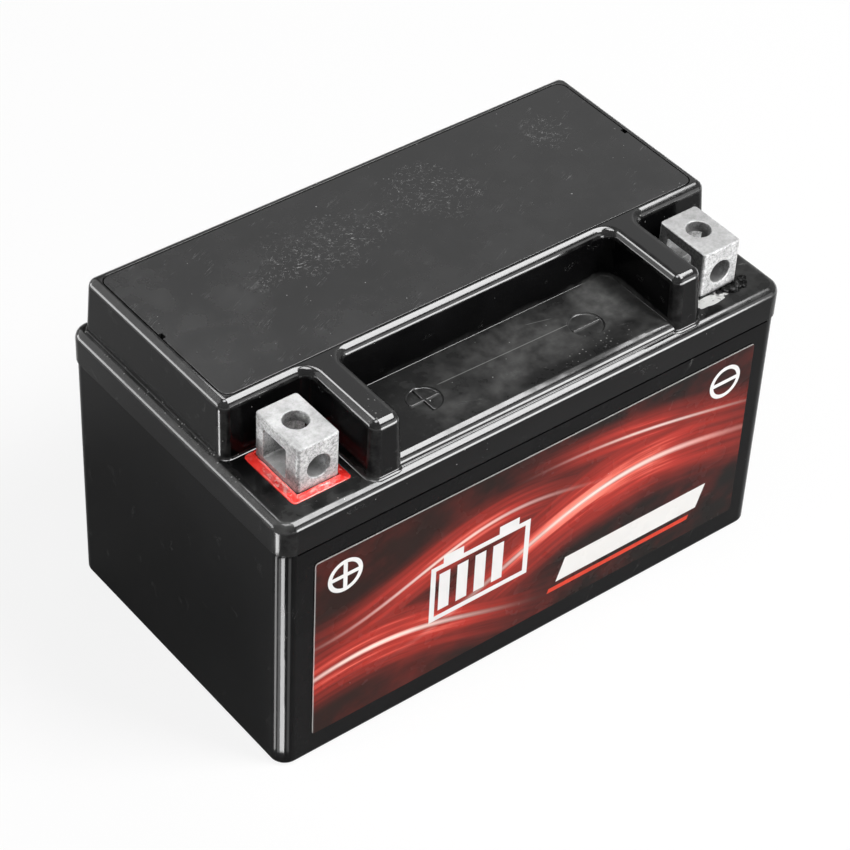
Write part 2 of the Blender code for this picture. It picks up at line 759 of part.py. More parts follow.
def build_valve_caps():
    """A rubber cap over each chimney. Its origin is on the axis that it lifts along."""
    rim = CAP_SKIRT_GAP
    profile = [
        (0, cap_top - well_floor),
        (cap_outer_radius, cap_top - well_floor),
        (cap_outer_radius, rim),
        (cap_inner_radius, rim),
        (cap_inner_radius, chimney_top + FIT_GAP - well_floor),
        (0, chimney_top + FIT_GAP - well_floor),
    ]
    for i, x in enumerate(cell_centres):
        add_part(f"valve_cap_{i + 1}", turned(profile), "valve_rubber", (x, valve_y, well_floor))


def build_terminal(name, side):
    """A square cast terminal: nut pocket across it, bolt holes from above and in front, shank below."""
    half_x, half_y = TERMINAL_WIDTH / 2, TERMINAL_LENGTH / 2
    bm = bmesh.new()
    bm.from_mesh(blocks([((-half_x, -half_y, terminal_body_foot), (half_x, half_y, terminal_top))]))
    bevel(bm, list(bm.edges), TERMINAL_EDGE_RADIUS)
    place = (side * terminal_x, terminal_y, 0)
    terminal = add_part(name, mesh_from(bm), "cast_terminal_metal", place)
    foot = blocks(
        [
            (
                (-terminal_foot_half_x, -terminal_foot_half_y, terminal_foot),
                (terminal_foot_half_x, terminal_foot_half_y, terminal_body_foot + SINK),
            )
        ]
    )
    join(terminal, add_tool(f"{name}_foot", foot, place))
    shank = rods(SHANK_RADIUS, shank_end, terminal_foot + SINK, [(0, 0)])
    join(terminal, add_tool(f"{name}_shank", shank, place))
    pocket_front, pocket_rear = -half_y + NUT_POCKET_FRONT_WALL, half_y - NUT_POCKET_REAR_WALL
    pocket_foot, pocket_head = terminal_body_foot + NUT_POCKET_FLOOR, terminal_top - NUT_POCKET_TOP_WALL
    pocket_middle_y = (pocket_front + pocket_rear) / 2
    pocket_middle_z = (pocket_foot + pocket_head) / 2
    pocket = blocks(
        [
            (
                (-half_x - OVERSHOOT, pocket_front, pocket_foot),
                (half_x + OVERSHOOT, pocket_rear, pocket_head),
            )
        ]
    )
    cut(terminal, add_tool(f"{name}_nut_pocket", pocket, place))
    top_hole = rods(BOLT_HOLE_RADIUS, pocket_middle_z, terminal_top + OVERSHOOT, [(0, pocket_middle_y)])
    cut(terminal, add_tool(f"{name}_top_hole", top_hole, place))
    front_hole = rods(
        BOLT_HOLE_RADIUS, -half_y - OVERSHOOT, pocket_middle_y, [(0, pocket_middle_z)], "Y"
    )
    cut(terminal, add_tool(f"{name}_front_hole", front_hole, place))


def build_terminal_seal(name, side, material):
    """The frame of cured resin round a terminal's foot."""
    reach_x, reach_y = terminal_foot_half_x + FIT_GAP, terminal_foot_half_y + FIT_GAP
    hole = rectangle(-reach_x, reach_x, -reach_y, reach_y)
    outlines = [rounded(seal_rectangle(FIT_GAP)), rounded(hole)]
    mesh = extruded(outlines, seal_floor + FIT_GAP, shelf_height + SEAL_CROWN)
    add_part(name, mesh, material, (side * terminal_x, terminal_y, 0))


def build_o_ring(name, side):
    """The rubber ring that seals a terminal's shank in the lid."""
    bpy.ops.mesh.primitive_torus_add(
        major_radius=o_ring_mid_radius,
        minor_radius=O_RING_SECTION_RADIUS,
        major_segments=ROUND_STEPS,
        minor_segments=ROUND_STEPS // 3,
    )
    made = bpy.context.active_object
    mesh = made.data
    bpy.data.objects.remove(made)
    height = counterbore_floor + FIT_GAP / 2 + O_RING_SECTION_RADIUS
    add_part(name, mesh, "valve_rubber", (side * terminal_x, terminal_y, height))


def build_plate_group(name, cell, polarity, side):
    """The plates of one polarity in a cell, with the strap that is cast across their lugs.

    side is the end of the plates, front or rear, where the strap lies. The strap of an inner cell has an
    upright at one end, the tombstone, which is welded to the next cell's through the partition.
    """
    if polarity == "positive":
        count, thickness, weld_end = POSITIVE_PLATE_COUNT, positive_plate_thickness, LEFT
        welded = cell > 0
    else:
        count, thickness, weld_end = negative_plate_count, negative_plate_thickness, RIGHT
        welded = cell < CELL_COUNT - 1
    first = -(count - 1) * plate_step
    outline = plate_with_lug(side)
    mesh = extruded([outline], first - thickness / 2, first + thickness / 2, "X")
    place = (cell_centres[cell], 0, 0)
    group = add_part(name, mesh, f"{polarity}_plate_lead", place)
    array = group.modifiers.new("plates", "ARRAY")
    array.count = count
    array.use_relative_offset = False
    array.use_constant_offset = True
    array.constant_offset_displace = (2 * plate_step, 0, 0)
    array.use_merge_vertices = False
    lug_reach = min(-first, strap_reach)
    strap = strap_profile(lug_reach, weld_end, welded)
    middle = side * strap_offset
    strap_mesh = extruded([strap], middle - STRAP_WIDTH / 2, middle + STRAP_WIDTH / 2, "Y")
    join(group, add_tool(f"{name}_strap", strap_mesh, place))


def plate_with_lug(side):
    """Outline of a plate in Y and Z, with its lug standing at the front or the rear."""
    reach = cavity_half_width - PLATE_SIDE_CLEARANCE
    lug_low = side * strap_offset - LUG_WIDTH / 2
    lug_high = side * strap_offset + LUG_WIDTH / 2
    lug_head = strap_head - STRAP_THICKNESS / 4
    return [
        (-reach, plate_foot),
        (reach, plate_foot),
        (reach, plate_head),
        (lug_high, plate_head),
        (lug_high, lug_head),
        (lug_low, lug_head),
        (lug_low, plate_head),
        (-reach, plate_head),
    ]


def strap_profile(lug_reach, weld_end, welded):
    """Outline of a strap in X and Z, with the tombstone at its welded end."""
    if not welded:
        return [
            (-lug_reach, strap_foot),
            (lug_reach, strap_foot),
            (lug_reach, strap_head),
            (-lug_reach, strap_head),
        ]
    tip = weld_end * strap_reach
    inner = tip - weld_end * TOMBSTONE_THICKNESS
    tail = -weld_end * lug_reach
    return [
        (tail, strap_foot),
        (tip, strap_foot),
        (tip, tombstone_head),
        (inner, tombstone_head),
        (inner, strap_head),
        (tail, strap_head),
    ]


def build_glass_mat(cell):
    """One long mat of glass fibre, folded to and fro between all the plates of a cell."""
    reach = cavity_half_width - MAT_SIDE_CLEARANCE - mat_thickness / 2
    path = []
    for layer in range(mat_layer_count):
        shift = (positive_plate_thickness - negative_plate_thickness) / 4
        towards_positive = 1 if layer % 2 == 0 else -1
        x = (layer - (mat_layer_count - 1) / 2) * plate_step - towards_positive * shift
        end = reach if layer % 2 == 0 else -reach
        path += [(x, -end), (x, end)]
    mesh = extruded([ribbon(path, mat_thickness)], mat_foot, mat_head)
    add_part(f"glass_mat_{cell + 1}", mesh, "glass_fibre_mat", (cell_centres[cell], 0, 0))


def build_cells():
    """The plate groups and the mat of every cell. The polarity changes ends from cell to cell."""
    for cell in range(CELL_COUNT):
        positive_side = FRONT if cell % 2 == 0 else REAR
        build_plate_group(f"positive_plates_{cell + 1}", cell, "positive", positive_side)
        build_plate_group(f"negative_plates_{cell + 1}", cell, "negative", -positive_side)
        build_glass_mat(cell)


def build_cell_welds():
    """The lead welds that join the straps of neighbouring cells through the partitions."""
    reach = PARTITION_THICKNESS / 2 + STRAP_END_CLEARANCE - FIT_GAP
    for i, x in enumerate(partition_centres):
        weld_mesh = rods(WELD_RADIUS, -reach, reach, [(0, 0)], "X")
        add_part(f"cell_weld_{i + 1}", weld_mesh, "bare_lead", (x, weld_y(i), weld_height))


def build_post(name, side):
    """The lead post that carries current from an end strap up to a terminal's shank."""
    low, high = strap_head + FIT_GAP, shank_end - FIT_GAP
    add_part(name, rods(POST_RADIUS, low, high, [(0, 0)]), "bare_lead", (side * terminal_x, terminal_y, 0))


def build_front_label():
    """The printed film on the front of the container."""
    left, right = -container_half_length + LABEL_LEFT_MARGIN, container_half_length - LABEL_RIGHT_MARGIN
    low, high = LABEL_BOTTOM_MARGIN, shoulder_height - LABEL_TOP_MARGIN
    back = -container_half_width - FIT_GAP / 2
    outline = rounded(rectangle(left, right, low, high, LABEL_CORNER_RADIUS))
    mesh = extruded([outline], back - LABEL_THICKNESS, back, "Y")
    add_part("front_label", mesh, "printed_label_film")


clear_scene()
parts = new_collection("motorcycle_battery")
tools = new_collection("cutters_and_lumps")
frame = bpy.data.objects.new("battery_frame", None)
parts.objects.link(frame)

build_container()
build_cells()
build_cell_welds()
build_lid_sealant()
build_lid()
build_valve_caps()
build_cover_plate()
build_terminal("positive_terminal", LEFT)
build_terminal("negative_terminal", RIGHT)
build_terminal_seal("positive_terminal_seal", LEFT, "red_sealing_resin")
build_terminal_seal("negative_terminal_seal", RIGHT, "black_sealing_resin")
build_o_ring("positive_o_ring", LEFT)
build_o_ring("negative_o_ring", RIGHT)
build_post("positive_post", LEFT)
build_post("negative_post", RIGHT)
build_front_label()
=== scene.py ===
"""Looks of a sealed motorcycle battery: finer shells over its solids, their finishes and a plain studio."""

import json
import logging
import math
from dataclasses import dataclass
from enum import Enum
from typing import Callable, Iterable, Sequence

import bmesh
import bpy
from mathutils import Matrix, Vector, noise


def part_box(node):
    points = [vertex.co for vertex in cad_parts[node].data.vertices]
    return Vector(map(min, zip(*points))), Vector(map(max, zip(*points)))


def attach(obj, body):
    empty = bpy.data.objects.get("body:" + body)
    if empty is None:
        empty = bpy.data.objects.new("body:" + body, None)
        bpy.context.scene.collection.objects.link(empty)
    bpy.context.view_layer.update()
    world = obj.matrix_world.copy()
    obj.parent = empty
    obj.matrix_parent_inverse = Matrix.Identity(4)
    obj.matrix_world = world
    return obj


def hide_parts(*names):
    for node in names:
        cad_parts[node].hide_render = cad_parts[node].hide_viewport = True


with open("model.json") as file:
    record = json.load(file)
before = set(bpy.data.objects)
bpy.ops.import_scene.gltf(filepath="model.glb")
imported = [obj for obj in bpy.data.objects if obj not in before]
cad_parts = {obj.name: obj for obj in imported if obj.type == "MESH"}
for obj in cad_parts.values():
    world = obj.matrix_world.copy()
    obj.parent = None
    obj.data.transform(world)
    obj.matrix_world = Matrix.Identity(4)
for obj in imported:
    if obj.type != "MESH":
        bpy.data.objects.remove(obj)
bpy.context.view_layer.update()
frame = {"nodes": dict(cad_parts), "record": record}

LOG = logging.getLogger("battery")
MM = 0.001
BODY = "battery"
SINK = 0.6
SHARP_ANGLE = math.radians(28)

Point2 = tuple[float, float]
Point3 = tuple[float, float, float]
Colour = tuple[float, float, float]
Socket = bpy.types.NodeSocket


class Join(Enum):
    """How a lump changes the mesh it is combined with."""

    ADD = "UNION"
    CUT = "DIFFERENCE"


class Axis(Enum):
    """The row axis that a rod runs along."""

    X = "X"
    Y = "Y"
    Z = "Z"


@dataclass(frozen=True)
class RimPoint:
    """A point of a plan outline, in millimetres, with its outward direction."""

    x: float
    y: float
    out_x: float
    out_y: float


@dataclass(frozen=True)
class Corner:
    """A corner of a plan outline and the radius that rounds it, in millimetres."""

    x: float
    y: float
    radius: float


class Outline:
    """A closed plan outline with rounded corners, run anticlockwise, that can be offset at any height."""

    def __init__(self, points: Sequence[RimPoint]) -> None:
        """Keep the points of the outline.

        Args:
            points: the rim points in order.
        """
        self.points = list(points)

    @classmethod
    def rounded(cls, corners: Sequence[Corner], steps: int = 10, spacing: float = 0.0) -> "Outline":
        """Round the corners of a polygon.

        Args:
            corners: the corners, anticlockwise.
            steps: arc steps in a corner of ninety degrees.
            spacing: longest straight stretch, in millimetres, or 0 to leave them whole.

        Returns:
            The outline.
        """
        points: list[RimPoint] = []
        count = len(corners)
        for i, corner in enumerate(corners):
            here = Vector((corner.x, corner.y))
            before = Vector((corners[i - 1].x, corners[i - 1].y))
            after = Vector((corners[(i + 1) % count].x, corners[(i + 1) % count].y))
            way_in, way_out = (here - before).normalized(), (after - here).normalized()
            turn = math.atan2(way_in.x * way_out.y - way_in.y * way_out.x, way_in.dot(way_out))
            side = 1.0 if turn > 0 else -1.0
            reach = corner.radius * math.tan(abs(turn) / 2)
            left = Vector((-way_in.y, way_in.x))
            middle = here - way_in * reach + left * corner.radius * side
            arc = max(2, round(steps * abs(turn) / (math.pi / 2)))
            first = math.atan2(way_in.x, -way_in.y) + math.pi
            for k in range(arc + 1):
                angle = first + turn * k / arc
                out = Vector((math.cos(angle), math.sin(angle)))
                spot = middle + out * corner.radius * side
                points.append(RimPoint(spot.x, spot.y, out.x, out.y))
        return cls(points).spaced(spacing) if spacing else cls(points)

    @classmethod
    def rectangle(
        cls, half_x: float, half_y: float, radius: float, steps: int = 10, spacing: float = 0.0
    ) -> "Outline":
        """A rounded rectangle about the origin.

        Args:
            half_x: half its length along X.
            half_y: half its length along Y.
            radius: corner radius.
            steps: arc steps in each corner.
            spacing: longest straight stretch, or 0.

        Returns:
            The outline.
        """
        corners = [(-1, -1), (1, -1), (1, 1), (-1, 1)]
        return cls.rounded([Corner(x * half_x, y * half_y, radius) for x, y in corners], steps, spacing)

    def spaced(self, spacing: float) -> "Outline":
        """The same outline with points added along its long straight stretches.

        Args:
            spacing: longest stretch that is left.

        Returns:
            The new outline.
        """
        made: list[RimPoint] = []
        for a, b in zip(self.points, self.points[1:] + self.points[:1]):
            made.append(a)
            parts = int(math.hypot(b.x - a.x, b.y - a.y) / spacing)
            for k in range(1, parts):
                t = k / parts
                made.append(RimPoint(a.x + (b.x - a.x) * t, a.y + (b.y - a.y) * t, a.out_x, a.out_y))
        return Outline(made)

    def moved(self, x: float, y: float) -> "Outline":
        """The same outline about another point.

        Args:
            x: shift along X.
            y: shift along Y.

        Returns:
            The new outline.
        """
        return Outline([RimPoint(p.x + x, p.y + y, p.out_x, p.out_y) for p in self.points])

    def ring(self, offset: float, height: float) -> list[Vector]:
        """The outline pushed outward and lifted.

        Args:
            offset: how far outward.
            height: its Z.

        Returns:
            The ring's points.
        """
        return [Vector((p.x + p.out_x * offset, p.y + p.out_y * offset, height)) for p in self.points]


def arc(centre: Point2, radius: float, start: float, end: float, steps: int) -> list[Point2]:
    """Points of an arc in offset and height.

    Args:
        centre: its centre.
        radius: its radius.
        start: first angle in degrees.
        end: last angle in degrees.
        steps: number of steps.

    Returns:
        The points, both ends included.
    """
    angles = [math.radians(start + (end - start) * k / steps) for k in range(steps + 1)]
    return [(centre[0] + radius * math.cos(a), centre[1] + radius * math.sin(a)) for a in angles]


def to_mesh(bm: bmesh.types.BMesh) -> bpy.types.Mesh:
    """Turn a bmesh drawn in millimetres into a mesh in metres, faces outward.

    Args:
        bm: the bmesh, which is freed.

    Returns:
        The mesh.
    """
    bmesh.ops.recalc_face_normals(bm, faces=list(bm.faces))
    bmesh.ops.scale(bm, vec=(MM, MM, MM), verts=list(bm.verts))
    mesh = bpy.data.meshes.new("shape")
    bm.to_mesh(mesh)
    bm.free()
    return mesh


def loft(rings: Sequence[Sequence[Vector]], closed: bool = False) -> bpy.types.Mesh:
    """Join rings of equally many points into one skin.

    Args:
        rings: the rings in order, in millimetres.
        closed: join the last ring to the first, instead of capping both ends.

    Returns:
        The closed mesh.
    """
    bm = bmesh.new()
    verts = [[bm.verts.new(p) for p in ring] for ring in rings]
    pairs = list(zip(verts, verts[1:])) + ([(verts[-1], verts[0])] if closed else [])
    for low, high in pairs:
        for k in range(len(low)):
            n = (k + 1) % len(low)
            bm.faces.new((low[k], low[n], high[n], high[k]))
    if not closed:
        bm.faces.new(list(reversed(verts[0])))
        bm.faces.new(verts[-1])
    return to_mesh(bm)


def prism(outline: Outline, profile: Sequence[Point2]) -> bpy.types.Mesh:
    """Loft an outline through a profile of offsets and heights.

    Args:
        outline: the plan outline.
        profile: offset and height of each ring.

    Returns:
        The closed mesh.
    """
    return loft([outline.ring(offset, height) for offset, height in profile])


def blocks(boxes: Iterable[tuple[Point3, Point3]]) -> bpy.types.Mesh:
    """Plain boxes, as one cutter.

    Args:
        boxes: lowest and highest corner of each.

    Returns:
        The mesh.
    """
    bm = bmesh.new()
    for low, high in boxes:
        size = [b - a for a, b in zip(low, high)]
        middle = [(a + b) / 2 for a, b in zip(low, high)]
        bmesh.ops.create_cube(bm, size=1.0, matrix=Matrix.Translation(middle) @ Matrix.Diagonal((*size, 1)))
    return to_mesh(bm)


def turned(
    profile: Sequence[Point2], places: Iterable[Point3], along: Axis = Axis.Z, steps: int = 48
) -> bpy.types.Mesh:
    """Turn a profile of radii and lengths about an axis, once at each place.

    Args:
        profile: radius and length of each ring, both ends closed.
        places: where each axis starts.
        along: the axis that the lengths run along.
        steps: points in a ring.

    Returns:
        The mesh.
    """
    turn = {
        Axis.X: Matrix.Rotation(math.pi / 2, 4, "Y"),
        Axis.Y: Matrix.Rotation(-math.pi / 2, 4, "X"),
        Axis.Z: Matrix.Identity(4),
    }[along]
    bm = bmesh.new()
    for place in places:
        move = Matrix.Translation(place) @ turn
        rings = []
        for radius, length in profile:
            angles = [2 * math.pi * k / steps for k in range(steps)]
            spots = [Vector((radius * math.cos(a), radius * math.sin(a), length)) for a in angles]
            rings.append([bm.verts.new(move @ s) for s in spots])
        for low, high in zip(rings, rings[1:]):
            for k in range(steps):
                n = (k + 1) % steps
                bm.faces.new((low[k], low[n], high[n], high[k]))
        bm.faces.new(list(reversed(rings[0])))
        bm.faces.new(rings[-1])
    return to_mesh(bm)


def combined(base: bpy.types.Mesh, lumps: Sequence[tuple[Join, bpy.types.Mesh]]) -> bpy.types.Mesh:
    """Add lumps to a mesh and cut others from it, in order.

    Args:
        base: the mesh to start from.
        lumps: each with how it is joined.

    Returns:
        The finished mesh. The lumps are removed.
    """
    body = bpy.data.objects.new("body", base)
    bpy.context.scene.collection.objects.link(body)
    helpers = []
    for how, lump in lumps:
        helper = bpy.data.objects.new("lump", lump)
        bpy.context.scene.collection.objects.link(helper)
        helpers.append(helper)
        modifier = body.modifiers.new("lump", "BOOLEAN")
        modifier.operation = how.value
        modifier.solver = "EXACT"
        modifier.object = helper
    graph = bpy.context.evaluated_depsgraph_get()
    made = bpy.data.meshes.new_from_object(body.evaluated_get(graph))
    for thing in [body, *helpers]:
        bpy.data.objects.remove(thing)
    return made


def softened(mesh: bpy.types.Mesh) -> bpy.types.Mesh:
    """Shade a mesh smooth, keep its sharp edges, and note where its rounded edges are.

    Args:
        mesh: the mesh, changed in place.

    Returns:
        The same mesh, with a point value "edge" that is 1 on rounded outer edges.
    """
    bm = bmesh.new()
    bm.from_mesh(mesh)
    bmesh.ops.remove_doubles(bm, verts=list(bm.verts), dist=2e-6)
    bmesh.ops.dissolve_degenerate(bm, edges=list(bm.edges), dist=1e-6)
    values = []
    for vert in bm.verts:
        small = all(face.calc_area() < 30e-6 for face in vert.link_faces)
        bends = [edge.calc_face_angle_signed(0.0) for edge in vert.link_edges if edge.is_manifold]
        values.append(min(1.0, max([0.0, *bends]) / math.radians(8)) if small else 0.0)
    bm.to_mesh(mesh)
    bm.free()
    mesh.attributes.new("edge", "FLOAT", "POINT").data.foreach_set("value", values)
    mesh.polygons.foreach_set("use_smooth", [True] * len(mesh.polygons))
    mesh.set_sharp_from_angle(angle=SHARP_ANGLE)
    return mesh


def place(
    name: str, mesh: bpy.types.Mesh, material: bpy.types.Material, slot: str, *nodes: str
) -> bpy.types.Object:
    """Put a piece in the scene in place of solids of the frame.

    Args:
        name: the piece's name.
        mesh: its mesh, in metres in the row frame.
        material: its finish.
        slot: the record's material slot; not used.
        nodes: the solids that it stands for.

    Returns:
        The piece.
    """
    piece = bpy.data.objects.new(name, softened(mesh))
    mesh.name = name
    mesh.materials.clear()
    mesh.materials.append(material)
    bpy.context.scene.collection.objects.link(piece)
    weighted = piece.modifiers.new("even_shading", "WEIGHTED_NORMAL")
    weighted.keep_sharp = True
    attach(piece, BODY)
    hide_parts(*nodes)
    LOG.info("%s: %d faces, stands for %s", name, len(mesh.polygons), ", ".join(nodes))
    return piece


class Graph:
    """A small builder for the nodes of a material or a group."""

    def __init__(self, tree: bpy.types.NodeTree) -> None:
        """Keep the tree to build in.

        Args:
            tree: the node tree.
        """
        self.tree = tree

    def node(self, kind: str, **settings: object) -> bpy.types.Node:
        """Add a node.

        Args:
            kind: its Blender type.
            settings: attributes to set on it.

        Returns:
            The node.
        """
        made = self.tree.nodes.new(kind)
        for key, value in settings.items():
            setattr(made, key, value)
        return made

    def feed(self, socket: Socket, value: object) -> None:
        """Link a socket's value from another socket, or set it to a constant.

        Args:
            socket: the input.
            value: an output socket or a constant.
        """
        if isinstance(value, bpy.types.NodeSocket):
            self.tree.links.new(value, socket)
        else:
            socket.default_value = value

    def math(self, kind: str, a: object, b: object = 0.0, c: object = 0.0, clamp: bool = False) -> Socket:
        """A Math node.

        Args:
            kind: its operation.
            a: first value.
            b: second value.
            c: third value.
            clamp: keep the result from 0 to 1.

        Returns:
            Its result.
        """
        made = self.node("ShaderNodeMath", operation=kind, use_clamp=clamp)
        for socket, value in zip(made.inputs, (a, b, c)):
            self.feed(socket, value)
        return made.outputs[0]

    def add(self, *values: object) -> Socket:
        """The sum of some values."""
        total = values[0]
        for value in values[1:]:
            total = self.math("ADD", total, value)
        return total

    def times(self, *values: object) -> Socket:
        """The product of some values."""
        total = values[0]
        for value in values[1:]:
            total = self.math("MULTIPLY", total, value)
        return total

    def most(self, *values: object) -> Socket:
        """The largest of some values."""
        total = values[0]
        for value in values[1:]:
            total = self.math("MAXIMUM", total, value)
        return total

    def between(self, value: object, low: object, high: object, out_low: object = 0.0, out_high: object = 1.0) -> Socket:
        """Map a value smoothly from one range to another.

        Args:
            value: what is mapped.
            low: start of its range.
            high: end of its range.
            out_low: result at the start.
            out_high: result at the end.

        Returns:
            The mapped value.
        """
        made = self.node("ShaderNodeMapRange", interpolation_type="SMOOTHSTEP")
        for socket, given in zip(made.inputs, (value, low, high, out_low, out_high)):
            self.feed(socket, given)
        return made.outputs[0]

    def mix(self, share: object, a: object, b: object) -> Socket:
        """Mix two colours.

        Args:
            share: share of the second.
            a: first colour.
            b: second colour.

        Returns:
            The mixed colour.
        """
        made = self.node("ShaderNodeMix", data_type="RGBA")
        self.feed(made.inputs[0], share)
        for socket, value in ((made.inputs[6], a), (made.inputs[7], b)):
            self.feed(socket, (*value, 1.0) if isinstance(value, tuple) and len(value) == 3 else value)
        return made.outputs[2]

    def position(self) -> Socket:
        """The place on the piece in the row frame, in millimetres."""
        spot = self.node("ShaderNodeTexCoord").outputs["Object"]
        scaled = self.node("ShaderNodeVectorMath", operation="SCALE")
        self.feed(scaled.inputs[0], spot)
        scaled.inputs["Scale"].default_value = 1 / MM
        return scaled.outputs[0]

    def apart(self, vector: Socket) -> tuple[Socket, Socket, Socket]:
        """The X, Y and Z of a vector."""
        made = self.node("ShaderNodeSeparateXYZ")
        self.feed(made.inputs[0], vector)
        return made.outputs[0], made.outputs[1], made.outputs[2]

    def vector(self, x: object, y: object, z: object = 0.0) -> Socket:
        """A vector of three values."""
        made = self.node("ShaderNodeCombineXYZ")
        for socket, value in zip(made.inputs, (x, y, z)):
            self.feed(socket, value)
        return made.outputs[0]

    def stretched(self, vector: Socket, scale: Point3, turn: Point3 = (0, 0, 0)) -> Socket:
        """A vector turned, in degrees, and then scaled.

        Args:
            vector: what is stretched.
            scale: scale along each axis.
            turn: turn about each axis.

        Returns:
            The new vector.
        """
        turned_by = self.node("ShaderNodeMapping", vector_type="POINT")
        self.feed(turned_by.inputs["Vector"], vector)
        turned_by.inputs["Rotation"].default_value = [math.radians(t) for t in turn]
        scaled = self.node("ShaderNodeMapping", vector_type="POINT")
        self.feed(scaled.inputs["Vector"], turned_by.outputs[0])
        scaled.inputs["Scale"].default_value = scale
        return scaled.outputs[0]

    def noise(self, vector: Socket, scale: object, detail: float = 3.0, rough: float = 0.5) -> Socket:
        """Noise from 0 to 1.

        Args:
            vector: where it is read.
            scale: features per unit.
            detail: octaves.
            rough: weight of the finer octaves.

        Returns:
            The noise.
        """
        made = self.node("ShaderNodeTexNoise")
        self.feed(made.inputs["Vector"], vector)
        self.feed(made.inputs["Scale"], scale)
        made.inputs["Detail"].default_value = detail
        made.inputs["Roughness"].default_value = rough
        return made.outputs[0]

    def group(self, tree: bpy.types.NodeTree, **inputs: object) -> bpy.types.Node:
        """Place a group with its own values.

        Args:
            tree: the group.
            inputs: value of each named input, with _ for a space.

        Returns:
            The group's node.
        """
        made = self.node("ShaderNodeGroup", node_tree=tree)
        for key, value in inputs.items():
            self.feed(made.inputs[key.replace("_", " ")], value)
        return made

    def bump(self, height: object, strength: float, distance: float) -> Socket:
        """A Bump node.

        Args:
            height: the height that it reads.
            strength: how strongly it shows.
            distance: height of the bump, in metres.

        Returns:
            The normal.
        """
        made = self.node("ShaderNodeBump")
        self.feed(made.inputs["Height"], height)
        made.inputs["Strength"].default_value = strength
        made.inputs["Distance"].default_value = distance
        return made.outputs[0]


